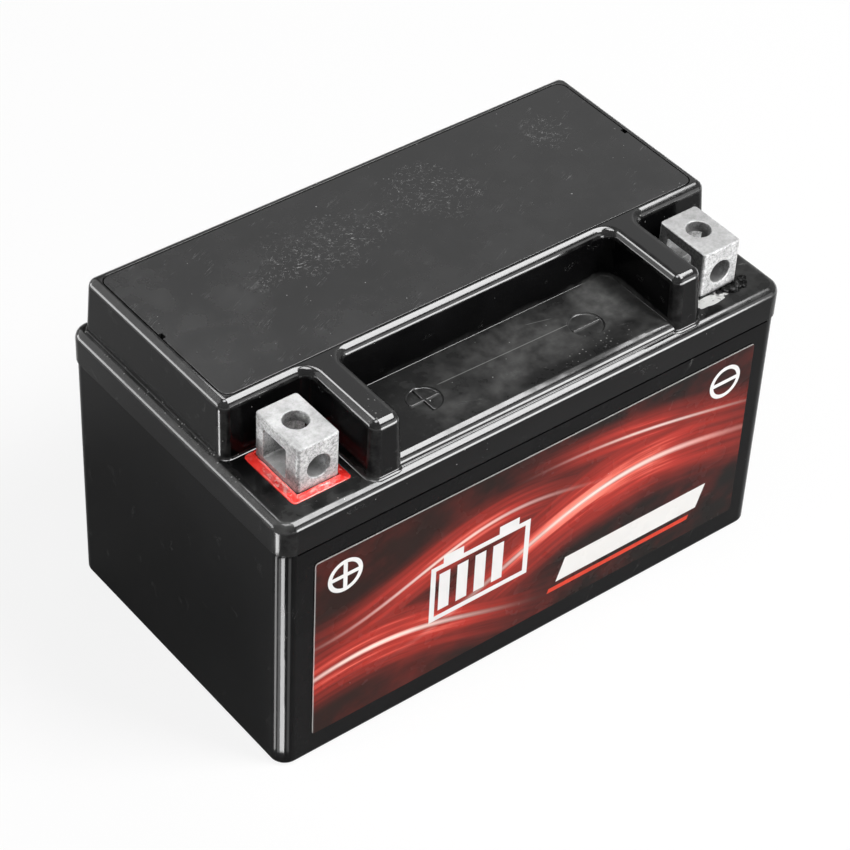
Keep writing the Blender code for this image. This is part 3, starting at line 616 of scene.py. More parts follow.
class Effects:
    """Surface effects that several finishes share, each a node group that is built once."""

    def __init__(self) -> None:
        """Start with no group built."""
        self.built: dict[str, bpy.types.NodeTree] = {}

    def named(
        self,
        name: str,
        inputs: Sequence[tuple[str, str, object]],
        output: str,
        fill: Callable[[Graph, bpy.types.Node], Socket],
    ) -> bpy.types.NodeTree:
        """Build a group once.

        Args:
            name: the group's name.
            inputs: name, socket type and default of each input.
            output: name of its one value output.
            fill: makes the nodes and returns the result.

        Returns:
            The group.
        """
        if name not in self.built:
            tree = bpy.data.node_groups.new(name, "ShaderNodeTree")
            for label, kind, default in inputs:
                socket = tree.interface.new_socket(label, in_out="INPUT", socket_type=kind)
                socket.default_value = default
            tree.interface.new_socket(output, in_out="OUTPUT", socket_type="NodeSocketFloat")
            graph = Graph(tree)
            result = fill(graph, graph.node("NodeGroupInput"))
            graph.feed(graph.node("NodeGroupOutput").inputs[0], result)
            self.built[name] = tree
        return self.built[name]

    def specks(self) -> bpy.types.NodeTree:
        """Scattered specks of dust: spacing and size in millimetres, density as a share."""

        def fill(graph: Graph, given: bpy.types.Node) -> Socket:
            """Make the nodes of the group."""
            cells = graph.node("ShaderNodeTexVoronoi", feature="F1")
            graph.feed(cells.inputs["Vector"], given.outputs["Position"])
            graph.feed(cells.inputs["Scale"], graph.math("DIVIDE", 1.0, given.outputs["Spacing"]))
            luck = graph.node("ShaderNodeSeparateColor")
            graph.feed(luck.inputs[0], cells.outputs["Color"])
            kept = graph.math("LESS_THAN", luck.outputs[0], given.outputs["Density"])
            share = graph.math("DIVIDE", given.outputs["Size"], given.outputs["Spacing"])
            radius = graph.times(share, graph.add(graph.times(luck.outputs[1], 0.8), 0.2))
            spot = graph.between(cells.outputs["Distance"], graph.times(radius, 0.5), radius, 1.0, 0.0)
            return graph.times(spot, kept)

        inputs = [
            ("Position", "NodeSocketVector", (0, 0, 0)),
            ("Spacing", "NodeSocketFloat", 3.0),
            ("Size", "NodeSocketFloat", 0.2),
            ("Density", "NodeSocketFloat", 0.3),
        ]
        return self.named("dust_specks", inputs, "Mask", fill)

    def scratches(self) -> bpy.types.NodeTree:
        """Fine scratches along the first axis of the position, broken up here and there."""

        def fill(graph: Graph, given: bpy.types.Node) -> Socket:
            """Make the nodes of the group."""
            spot = given.outputs["Position"]
            lines = graph.noise(graph.stretched(spot, (0.06, 1.4, 1.4)), given.outputs["Fineness"], 2.0)
            near = graph.math("ABSOLUTE", graph.math("SUBTRACT", lines, 0.5))
            thin = graph.between(near, 0.0, given.outputs["Width"], 1.0, 0.0)
            parts = graph.noise(graph.stretched(spot, (0.3, 0.5, 0.5)), 0.5, 2.0)
            edge = graph.math("SUBTRACT", 0.72, graph.times(given.outputs["Amount"], 0.4))
            return graph.times(thin, graph.between(parts, edge, graph.add(edge, 0.12)))

        inputs = [
            ("Position", "NodeSocketVector", (0, 0, 0)),
            ("Fineness", "NodeSocketFloat", 1.0),
            ("Width", "NodeSocketFloat", 0.012),
            ("Amount", "NodeSocketFloat", 0.5),
        ]
        return self.named("fine_scratches", inputs, "Mask", fill)

    def patch(self) -> bpy.types.NodeTree:
        """A soft uneven patch about a centre, with reach in millimetres along each axis."""

        def fill(graph: Graph, given: bpy.types.Node) -> Socket:
            """Make the nodes of the group."""
            away = graph.node("ShaderNodeVectorMath", operation="SUBTRACT")
            graph.feed(away.inputs[0], given.outputs["Position"])
            graph.feed(away.inputs[1], given.outputs["Centre"])
            share = graph.node("ShaderNodeVectorMath", operation="DIVIDE")
            graph.feed(share.inputs[0], away.outputs[0])
            graph.feed(share.inputs[1], given.outputs["Reach"])
            length = graph.node("ShaderNodeVectorMath", operation="LENGTH")
            graph.feed(length.inputs[0], share.outputs[0])
            wander = graph.times(graph.math("SUBTRACT", graph.noise(given.outputs["Position"], 0.12), 0.5), 1.2)
            return graph.between(graph.add(length.outputs["Value"], wander), 0.35, 1.05, 1.0, 0.0)

        inputs = [
            ("Position", "NodeSocketVector", (0, 0, 0)),
            ("Centre", "NodeSocketVector", (0, 0, 0)),
            ("Reach", "NodeSocketVector", (10, 10, 10)),
        ]
        return self.named("soft_patch", inputs, "Mask", fill)

    def smudge(self) -> bpy.types.NodeTree:
        """Cloudy handling marks from 0 to 1, at a size in millimetres."""

        def fill(graph: Graph, given: bpy.types.Node) -> Socket:
            """Make the nodes of the group."""
            broad = graph.noise(given.outputs["Position"], graph.math("DIVIDE", 1.0, given.outputs["Size"]), 4.0, 0.6)
            return graph.between(broad, 0.32, 0.7)

        inputs = [("Position", "NodeSocketVector", (0, 0, 0)), ("Size", "NodeSocketFloat", 14.0)]
        return self.named("handling_smudge", inputs, "Value", fill)

    def grain(self) -> bpy.types.NodeTree:
        """The fine uneven skin of a moulding or casting, as a height from 0 to 1."""

        def fill(graph: Graph, given: bpy.types.Node) -> Socket:
            """Make the nodes of the group."""
            fine = graph.noise(given.outputs["Position"], given.outputs["Fineness"], 3.0, 0.6)
            broad = graph.noise(given.outputs["Position"], graph.times(given.outputs["Fineness"], 0.11), 2.0)
            return graph.add(graph.times(fine, 0.4), graph.times(broad, given.outputs["Waves"]))

        inputs = [
            ("Position", "NodeSocketVector", (0, 0, 0)),
            ("Fineness", "NodeSocketFloat", 6.0),
            ("Waves", "NodeSocketFloat", 0.6),
        ]
        return self.named("moulded_grain", inputs, "Height", fill)


EFFECTS = Effects()


def new_material(name: str) -> tuple[bpy.types.Material, Graph, bpy.types.Node]:
    """Start a material with one Principled shader.

    Args:
        name: the finish's name.

    Returns:
        The material, its graph and the shader.
    """
    material = bpy.data.materials.new(name)
    material.use_nodes = True
    material.node_tree.nodes.clear()
    graph = Graph(material.node_tree)
    shader = graph.node("ShaderNodeBsdfPrincipled")
    graph.feed(graph.node("ShaderNodeOutputMaterial").inputs["Surface"], shader.outputs[0])
    return material, graph, shader


def edge_share(graph: Graph) -> Socket:
    """How far a place lies on a rounded outer edge, from 0 to 1."""
    return graph.node("ShaderNodeAttribute", attribute_name="edge").outputs["Fac"]


@dataclass(frozen=True)
class Patch:
    """A soft place on a surface, in millimetres in the row frame, and how strong its mark is."""

    centre: Point3
    reach: Point3
    strength: float

    def mask(self, graph: Graph, spot: Socket) -> Socket:
        """The patch as a mask from 0 to 1.

        Args:
            graph: the material's graph.
            spot: position in millimetres.

        Returns:
            The mask.
        """
        return graph.group(EFFECTS.patch(), Position=spot, Centre=self.centre, Reach=self.reach).outputs[0]


@dataclass(frozen=True)
class Stroke:
    """A thin pale line on an upward face, from one place to another, in millimetres in the row frame."""

    start: Point3
    end: Point3
    half_width: float
    strength: float

    def mask(self, graph: Graph, spot: Socket) -> Socket:
        """The line as a mask from 0 to its strength.

        Args:
            graph: the material's graph.
            spot: position in millimetres.

        Returns:
            The mask.
        """
        first, last = Vector(self.start), Vector(self.end)
        way = (last - first).normalized()
        x, y, z = graph.apart(spot)
        from_x, from_y = graph.math("SUBTRACT", x, first.x), graph.math("SUBTRACT", y, first.y)
        along = graph.add(graph.times(from_x, way.x), graph.times(from_y, way.y))
        aside = graph.math("ABSOLUTE", graph.math("SUBTRACT", graph.times(from_y, way.x), graph.times(from_x, way.y)))
        thin = graph.between(aside, self.half_width * 0.4, self.half_width, self.strength, 0.0)
        begun = graph.between(along, 0.0, 1.5)
        ended = graph.between(along, (last - first).length - 1.5, (last - first).length, 1.0, 0.0)
        level = graph.between(graph.math("ABSOLUTE", graph.math("SUBTRACT", z, first.z)), 0.3, 0.5, 1.0, 0.0)
        return graph.times(thin, begun, ended, level)


@dataclass(frozen=True)
class MouldedPlastic:
    """Black moulded plastic with handling marks, settled dust, scratches, scuffs and polished edges; its pale veils
    are partly dust and partly painted light that lifts shaded places.
    """

    name: str
    colour: Colour
    pale: Colour
    low_gloss: float
    high_gloss: float
    specular: float
    shine: float
    dust: float
    scratch: float
    scratch_turn: Point3
    rub: float
    grain: float
    scuffs: tuple[Patch, ...] = ()
    dust_and_painted_light_veils: tuple[Patch, ...] = ()
    stains: tuple[Patch, ...] = ()
    grit: tuple[Patch, ...] = ()
    strokes: tuple[Stroke, ...] = ()
    coat_roughness: float = 0.1
    coat_ior: float = 1.5

    def material(self) -> bpy.types.Material:
        """Build the material."""
        material, graph, shader = new_material(self.name)
        spot = graph.position()
        smudge = graph.group(EFFECTS.smudge(), Position=spot, Size=17.0).outputs[0]
        fine_smudge = graph.group(EFFECTS.smudge(), Position=spot, Size=4.0).outputs[0]
        along = graph.stretched(spot, (1, 1, 1), self.scratch_turn)
        scratch = graph.group(EFFECTS.scratches(), Position=along, Fineness=1.3, Amount=self.scratch).outputs[0]
        rubbed = graph.times(edge_share(graph), fine_smudge, self.rub)
        scuffed = self.scuffed(graph, spot)
        uneven = graph.times(graph.add(graph.times(smudge, 1.1), 0.35), graph.add(graph.times(fine_smudge, 0.6), 0.6))
        # The veils are partly settled dust and partly painted light, made stronger where the lid lies in shade.
        dust_and_painted_light_veil = graph.times(self.sum_of(graph, spot, self.dust_and_painted_light_veils), uneven)
        stain = self.sum_of(graph, spot, self.stains)
        wet = graph.times(stain, graph.add(graph.times(fine_smudge, 0.6), 0.4))
        dust_and_painted_light_veil = graph.times(dust_and_painted_light_veil, graph.math("SUBTRACT", 1.0, wet, clamp=True))
        haze = graph.mix(graph.times(smudge, 0.5), self.colour, tuple(c * 1.8 for c in self.colour))
        dust_and_painted_light_tone = graph.mix(dust_and_painted_light_veil, haze, self.pale)
        lines = graph.most(0.0, *[stroke.mask(graph, spot) for stroke in self.strokes])
        marks = graph.most(self.specks(graph, spot), graph.times(scratch, 0.4), rubbed, scuffed, lines)
        graph.feed(shader.inputs["Base Color"], graph.mix(marks, dust_and_painted_light_tone, self.pale))
        mixed = graph.add(graph.times(smudge, 0.7), graph.times(fine_smudge, 0.3))
        gloss = graph.between(mixed, 0.0, 1.0, self.low_gloss, self.high_gloss)
        if self.scuffs:
            blotch = graph.between(graph.noise(spot, 0.42, 4.0, 0.65), 0.4, 0.62)
            gloss = graph.math("SUBTRACT", gloss, graph.times(self.sum_of(graph, spot, self.scuffs), blotch, 0.14))
        dull = graph.add(graph.times(marks, 0.25), graph.times(dust_and_painted_light_veil, 4.0), graph.times(stain, 0.1))
        graph.feed(shader.inputs["Roughness"], graph.math("ADD", gloss, dull, clamp=True))
        shader.inputs["Specular IOR Level"].default_value = self.specular
        if self.shine:
            self.polish(graph, shader, spot, graph.add(graph.times(dust_and_painted_light_veil, 6.0), marks, stain))
        height = graph.group(EFFECTS.grain(), Position=spot, Fineness=5.0).outputs[0]
        carved = graph.add(graph.math("SUBTRACT", height, graph.times(scratch, 0.6)), graph.times(scuffed, 0.8))
        graph.feed(shader.inputs["Normal"], graph.bump(carved, self.grain, 0.00006))
        return material

    def polish(self, graph: Graph, shader: bpy.types.Node, spot: Socket, dulled: Socket) -> None:
        """Make rounded top edges glossier than the flat tops, and those glossier than the drawn walls.

        Args:
            graph: the material's graph.
            shader: its shader.
            spot: position in millimetres.
            dulled: where dust takes the gloss away.
        """
        facing = graph.apart(graph.node("ShaderNodeNewGeometry").outputs["Normal"])[2]
        upward = graph.between(facing, 0.1, 0.35)
        low = graph.between(graph.apart(spot)[2], 83.0, 89.0, 0.75, 0.3)
        flat = graph.times(graph.between(facing, 0.965, 0.995), low)
        clear = graph.math("SUBTRACT", 1.0, graph.add(dulled, flat), clamp=True)
        graph.feed(shader.inputs["Coat Weight"], graph.times(upward, clear, self.shine))
        shader.inputs["Coat Roughness"].default_value = self.coat_roughness
        shader.inputs["Coat IOR"].default_value = self.coat_ior

    def sum_of(self, graph: Graph, spot: Socket, patches: Sequence[Patch]) -> Socket:
        """All patches of one kind, each at its strength.

        Args:
            graph: the material's graph.
            spot: position in millimetres.
            patches: the patches.

        Returns:
            Their strongest mask.
        """
        return graph.most(0.0, *[graph.times(p.mask(graph, spot), p.strength) for p in patches])

    def specks(self, graph: Graph, spot: Socket) -> Socket:
        """Coarse and fine specks of dust, thicker in the gritty places.

        Args:
            graph: the material's graph.
            spot: position in millimetres.

        Returns:
            Their mask.
        """
        coarse = graph.group(EFFECTS.specks(), Position=spot, Spacing=2.6, Size=0.34, Density=self.dust)
        fine = graph.group(EFFECTS.specks(), Position=spot, Spacing=1.1, Size=0.2, Density=self.dust * 0.7)
        kinds = [coarse.outputs[0], fine.outputs[0]]
        if self.grit:
            thick = graph.group(EFFECTS.specks(), Position=spot, Spacing=0.8, Size=0.3, Density=0.45).outputs[0]
            kinds.append(graph.times(thick, self.sum_of(graph, spot, self.grit)))
        return graph.most(*kinds)

    def scuffed(self, graph: Graph, spot: Socket) -> Socket:
        """Clumps of pale flecks and thin curly hairlines inside each scuffed patch.

        Args:
            graph: the material's graph.
            spot: position in millimetres.

        Returns:
            Their mask.
        """
        if not self.scuffs:
            return graph.times(0.0, 1.0)
        where = self.sum_of(graph, spot, self.scuffs)
        clump = graph.between(graph.noise(spot, 0.3, 3.0, 0.6), 0.45, 0.62)
        torn = graph.noise(graph.stretched(spot, (0.6, 1.5, 1.0), (0, 0, 28)), 1.15, 5.0, 0.72)
        cut = graph.math("SUBTRACT", 0.7, graph.times(clump, where, 0.135))
        fleck = graph.times(graph.between(torn, cut, graph.add(cut, 0.05)), graph.add(graph.times(clump, 0.6), 0.25))
        hairs = []
        for turn, scale in ((-30, 0.4), (35, 0.52)):
            curls = graph.noise(graph.stretched(spot, (0.6, 1.1, 1.0), (0, 0, turn)), scale, 3.0, 0.55)
            hairs.append(graph.between(graph.math("ABSOLUTE", graph.math("SUBTRACT", curls, 0.5)), 0.0, 0.008, 1.0, 0.0))
        parts = graph.between(graph.noise(spot, 0.7, 2.0), 0.42, 0.6)
        both = graph.most(fleck, graph.times(graph.most(*hairs), parts, 0.7))
        return graph.times(both, graph.between(where, 0.06, 0.5))


@dataclass(frozen=True)
class CastMetal:
    """Cast and tinned terminal metal: mottled grey sides, an evener top painted a shade darker than the sides, and
    painted shade deep in the pocket and holes.
    """

    name: str
    dark: Colour
    bright: Colour

    def material(self) -> bpy.types.Material:
        """Build the material."""
        material, graph, shader = new_material(self.name)
        spot = graph.position()
        mottle = graph.noise(spot, 1.1, 6.0, 0.7)
        cloud = graph.noise(spot, 0.25, 3.0)
        normal = graph.node("ShaderNodeNewGeometry").outputs["Normal"]
        upward = graph.between(graph.apart(normal)[2], 0.5, 0.95)
        pits = graph.between(graph.noise(spot, 3.0, 4.0, 0.7), 0.55, 0.64)
        spread = graph.math("SUBTRACT", 1.0, graph.times(upward, 0.8))
        tone = graph.add(0.57, graph.times(graph.math("SUBTRACT", mottle, 0.5), 2.2, spread))
        # Upward faces lose 0.14 of tone, so the top is painted darker than the sides: painted shade.
        tone = graph.add(tone, graph.times(graph.math("SUBTRACT", cloud, 0.5), 0.8), graph.times(upward, -0.14))
        tone = graph.math("SUBTRACT", tone, graph.times(pits, spread, 0.5))
        # Painted shade: the colour darkens deep in the pocket and the holes, by the point value "inner".
        inner = graph.node("ShaderNodeAttribute", attribute_name="inner").outputs["Fac"]
        worn = graph.math("ADD", tone, graph.times(edge_share(graph), 0.08), clamp=True)
        shade = graph.times(worn, graph.math("SUBTRACT", 1.0, graph.times(inner, 0.8)))
        graph.feed(shader.inputs["Base Color"], graph.mix(shade, self.dark, self.bright))
        rough = graph.between(shade, 0.0, 1.0, 0.6, 0.42)
        graph.feed(shader.inputs["Roughness"], graph.add(rough, graph.times(edge_share(graph), 0.2)))
        shader.inputs["Metallic"].default_value = 1.0
        height = graph.group(EFFECTS.grain(), Position=spot, Fineness=3.2, Waves=0.8).outputs[0]
        graph.feed(shader.inputs["Normal"], graph.bump(height, 0.5, 0.00012))
        return material


@dataclass(frozen=True)
class PouredResin:
    """Glossy poured resin with a little cloudiness and pale patches in given places: a dusty film on the black resin,
    painted glints on the red.
    """

    name: str
    deep: Colour
    thin: Colour
    film: Colour
    film_and_glint_patches: tuple[Patch, ...]
    film_and_glint_gap: float
    dull: float
    coat: float
    specular: float
    relief: float

    def material(self) -> bpy.types.Material:
        """Build the material."""
        material, graph, shader = new_material(self.name)
        spot = graph.position()
        cloud = graph.between(graph.noise(spot, 0.5, 4.0, 0.6), 0.3, 0.7)
        broken = graph.between(graph.noise(spot, 1.1, 4.0), self.film_and_glint_gap, self.film_and_glint_gap + 0.25)
        # The pale patches are a dusty smear on the black resin and painted glints on the red.
        places = [graph.times(graph.between(p.mask(graph, spot), 0.15, 0.4), p.strength) for p in self.film_and_glint_patches]
        film = graph.times(graph.most(0.0, *places), broken)
        base = graph.mix(cloud, self.deep, self.thin)
        graph.feed(shader.inputs["Base Color"], graph.mix(film, base, self.film))
        graph.feed(shader.inputs["Roughness"], graph.add(graph.between(cloud, 0.0, 1.0, self.dull, self.dull + 0.08), graph.times(film, 0.2)))
        shader.inputs["Specular IOR Level"].default_value = self.specular
        shader.inputs["Coat Weight"].default_value = self.coat
        shader.inputs["Coat Roughness"].default_value = 0.05
        graph.feed(shader.inputs["Normal"], graph.bump(graph.noise(spot, 0.8, 3.0), 0.5, self.relief))
        return material


@dataclass(frozen=True)
class PlainStuff:
    """A dull inner material: paste, lead, rubber or fibre, with its own grain and tone."""

    name: str
    dark: Colour
    light: Colour
    roughness: float
    metallic: float
    fineness: float
    stretch: Point3 = (1.0, 1.0, 1.0)

    def material(self) -> bpy.types.Material:
        """Build the material."""
        material, graph, shader = new_material(self.name)
        spot = graph.stretched(graph.position(), self.stretch)
        tone = graph.noise(spot, self.fineness, 5.0, 0.65)
        graph.feed(shader.inputs["Base Color"], graph.mix(graph.between(tone, 0.3, 0.7), self.dark, self.light))
        graph.feed(shader.inputs["Roughness"], graph.between(tone, 0.2, 0.8, self.roughness - 0.1, self.roughness + 0.05))
        shader.inputs["Metallic"].default_value = self.metallic
        height = graph.group(EFFECTS.grain(), Position=spot, Fineness=self.fineness * 2).outputs[0]
        graph.feed(shader.inputs["Normal"], graph.bump(height, 0.5, 0.0001))
        return material


CASE_PLASTIC = MouldedPlastic(
    name="black_case_plastic",
    colour=(0.003, 0.003, 0.0032),
    pale=(0.42, 0.42, 0.41),
    low_gloss=0.12,
    high_gloss=0.2,
    specular=0.09,
    shine=1.0,
    dust=0.05,
    scratch=0.25,
    scratch_turn=(0, 0, 20),
    rub=0.05,
    grain=0.12,
    # Dust veils, strongest over the recess's right beside the tower and on the front shelves, to lift shade there:
    # partly painted light.
    dust_and_painted_light_veils=(
        Patch((0.0, -28.0, 80.0), (50.0, 17.0, 2.0), 0.115),
        Patch((36.0, -27.0, 80.0), (16.0, 16.0, 2.0), 0.2),
        Patch((-60.0, -38.0, 77.5), (24.0, 9.0, 3.0), 0.075),
        Patch((-73.5, 4.0, 77.5), (3.0, 52.0, 3.0), 0.03),
        Patch((66.0, -34.0, 77.5), (16.0, 16.0, 3.0), 0.085),
    ),
    stains=(
        Patch((13.0, -38.0, 80.0), (22.0, 3.6, 3.0), 1.0),
        Patch((32.0, -35.0, 80.0), (9.0, 3.6, 3.0), 0.9),
        Patch((-72.5, 12.0, 78.0), (1.0, 60.0, 1.6), 1.0),
    ),
    grit=(
        Patch((-73.0, 12.0, 77.5), (1.5, 40.0, 2.0), 1.0),
        Patch((-44.0, -36.0, 93.0), (5.0, 5.0, 2.0), 0.5),
        Patch((20.0, -36.0, 80.0), (16.0, 3.0, 2.0), 0.5),
    ),
    strokes=(
        Stroke((-19.2, -25.6, 80.0), (21.0, -26.4, 80.0), 0.16, 0.3),
        Stroke((11.0, -20.5, 80.0), (18.5, -22.5, 80.0), 0.14, 0.2),
    ),
)
CONTAINER_PLASTIC = MouldedPlastic(
    name="black_container_plastic",
    colour=(0.004, 0.004, 0.0042),
    pale=(0.4, 0.4, 0.39),
    low_gloss=0.1,
    high_gloss=0.17,
    specular=0.048,
    shine=0.0,
    dust=0.02,
    scratch=0.2,
    scratch_turn=(0, 65, 0),
    rub=0.04,
    grain=0.1,
)
PLATE_PLASTIC = MouldedPlastic(
    name="black_plate_plastic",
    colour=(0.012, 0.012, 0.0122),
    pale=(0.3, 0.3, 0.3),
    low_gloss=0.2,
    high_gloss=0.32,
    specular=0.44,
    shine=0.0,
    dust=0.06,
    scratch=0.35,
    scratch_turn=(0, 0, -24),
    rub=0.1,
    grain=0.2,
    scuffs=(
        Patch((-20.0, 17.0, 93.0), (26.0, 11.0, 20.0), 1.0),
        Patch((15.0, 20.0, 93.0), (13.0, 14.0, 20.0), 0.8),
        Patch((53.0, 23.0, 93.0), (8.0, 9.0, 20.0), 0.8),
    ),
    stains=(Patch((-46.0, 14.0, 93.0), (9.0, 7.0, 20.0), 0.8), Patch((-62.0, 23.0, 93.0), (5.0, 6.0, 20.0), 0.8)),
)
TERMINAL_METAL = CastMetal("cast_terminal_metal", (0.11, 0.11, 0.11), (0.56, 0.56, 0.56))
RED_RESIN = PouredResin(
    name="red_sealing_resin",
    deep=(0.94, 0.022, 0.016),
    thin=(1.0, 0.05, 0.036),
    film=(0.95, 0.6, 0.55),
    # Painted glints: pale patches along the front lip and the left strip stand in for white highlights.
    film_and_glint_patches=(
        Patch((-59.6, -36.2, 78.0), (4.0, 1.2, 3.0), 0.4),
        Patch((-66.3, -29.5, 78.0), (0.9, 6.5, 3.0), 0.6),
    ),
    film_and_glint_gap=0.42,
    dull=0.14,
    coat=0.7,
    specular=0.5,
    relief=0.0006,
)
BLACK_RESIN = PouredResin(
    name="black_sealing_resin",
    deep=(0.003, 0.003, 0.003),
    thin=(0.008, 0.008, 0.008),
    film=(0.62, 0.62, 0.61),
    film_and_glint_patches=(Patch((55.6, -37.3, 77.6), (6.6, 2.4, 0.7), 0.95),),
    film_and_glint_gap=0.18,
    dull=0.24,
    coat=0.0,
    specular=0.1,
    relief=0.0002,
)
RUBBER = PlainStuff("valve_rubber", (0.012, 0.012, 0.012), (0.03, 0.03, 0.03), 0.7, 0.0, 1.5)
POSITIVE_PASTE = PlainStuff("positive_plate_lead", (0.09, 0.035, 0.02), (0.19, 0.085, 0.05), 0.85, 0.1, 0.8)
NEGATIVE_PASTE = PlainStuff("negative_plate_lead", (0.22, 0.23, 0.25), (0.38, 0.39, 0.41), 0.75, 0.4, 0.8)
GLASS_FIBRE = PlainStuff("glass_fibre_mat", (0.7, 0.7, 0.67), (0.9, 0.9, 0.87), 0.9, 0.0, 1.6, (1.0, 0.3, 1.0))
BARE_LEAD = PlainStuff("bare_lead", (0.28, 0.29, 0.31), (0.5, 0.51, 0.53), 0.5, 0.9, 0.6)


@dataclass
class CaseSizes:
    """Sizes in millimetres that more than one sub-assembly shares."""

    half_length: float = 75.0
    half_width: float = 43.2
    top: float = 93.0
    shelf: float = 77.5
    skirt_foot: float = 68.7
    gap: float = 0.3
    cells: int = 6
    cell_pitch: float = 24.2333
    cell_half: float = 11.4167
    cavity_half_length: float = 72.0
    cavity_half_width: float = 40.2
    terminal_x: float = 59.6
    terminal_y: float = -27.5
    plate_half_length: float = 69.3
    plate_front: float = -13.3
    plate_rear: float = 37.2
    plate_corner: float = 2.5
    plate_thickness: float = 2.0
    valve_y: float = 11.95
    notch_half: float = 0.9
    notch_depth: float = 0.9
    seal_half_x: float = 8.05
    seal_half_y: float = 9.4
    seal_floor: float = 76.2

    def cell_centres(self) -> list[float]:
        """The X of the middle of each cell."""
        return [(i - (self.cells - 1) / 2) * self.cell_pitch for i in range(self.cells)]


@dataclass
class Container:
    """The moulded case that holds the cells."""

    case: CaseSizes
    half_length: float = 74.6
    half_width: float = 42.8
    corner: float = 4.1
    foot: float = 1.2
    floor: float = 2.5
    shoulder: float = 68.4
    shoulder_edge: float = 0.1
    groove_low: float = 67.8
    groove_deep: float = 0.45
    rim: float = 73.6
    tongue_inset: float = 1.7
    weld_hole: float = 3.8

    def mesh(self) -> bpy.types.Mesh:
        """The rounded case with its cells, partitions and the holes for the welds."""
        outline = Outline.rectangle(self.half_length, self.half_width, self.corner, 14)
        edge = self.shoulder_edge
        profile = [
            *arc((-self.foot, self.foot), self.foot, -90, 0, 8),
            *arc((-edge, self.shoulder - edge), edge, 0, 90, 4),
            (-self.tongue_inset, self.shoulder),
            (-self.tongue_inset, self.rim),
        ]
        cells = [
            (
                (x - self.case.cell_half, -self.case.cavity_half_width, self.floor),
                (x + self.case.cell_half, self.case.cavity_half_width, self.rim + SINK),
            )
            for x in self.case.cell_centres()
        ]
        reach, inner = self.half_length - self.corner, self.half_width - self.groove_deep
        sides = [(-self.half_width - 1, -inner), (inner, self.half_width + 1)]
        grooves = [((-reach, near, self.groove_low), (reach, far, self.shoulder + 1)) for near, far in sides]
        lumps = [(Join.CUT, blocks(cells)), (Join.CUT, blocks(grooves))]
        for i in range(1, self.case.cells):
            low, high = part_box(f"cell_weld_{i}")
            middle = (low + high) / 2 / MM
            hole = [(self.weld_hole, -2.0), (self.weld_hole, 2.0)]
            lumps.append((Join.CUT, turned(hole, [tuple(middle)], Axis.X, 24)))
        return combined(prism(outline, profile), lumps)

    def build(self) -> None:
        """Build and dress the container."""
        place("container_shell", self.mesh(), CONTAINER_PLASTIC.material(), "black_case_plastic", "container")


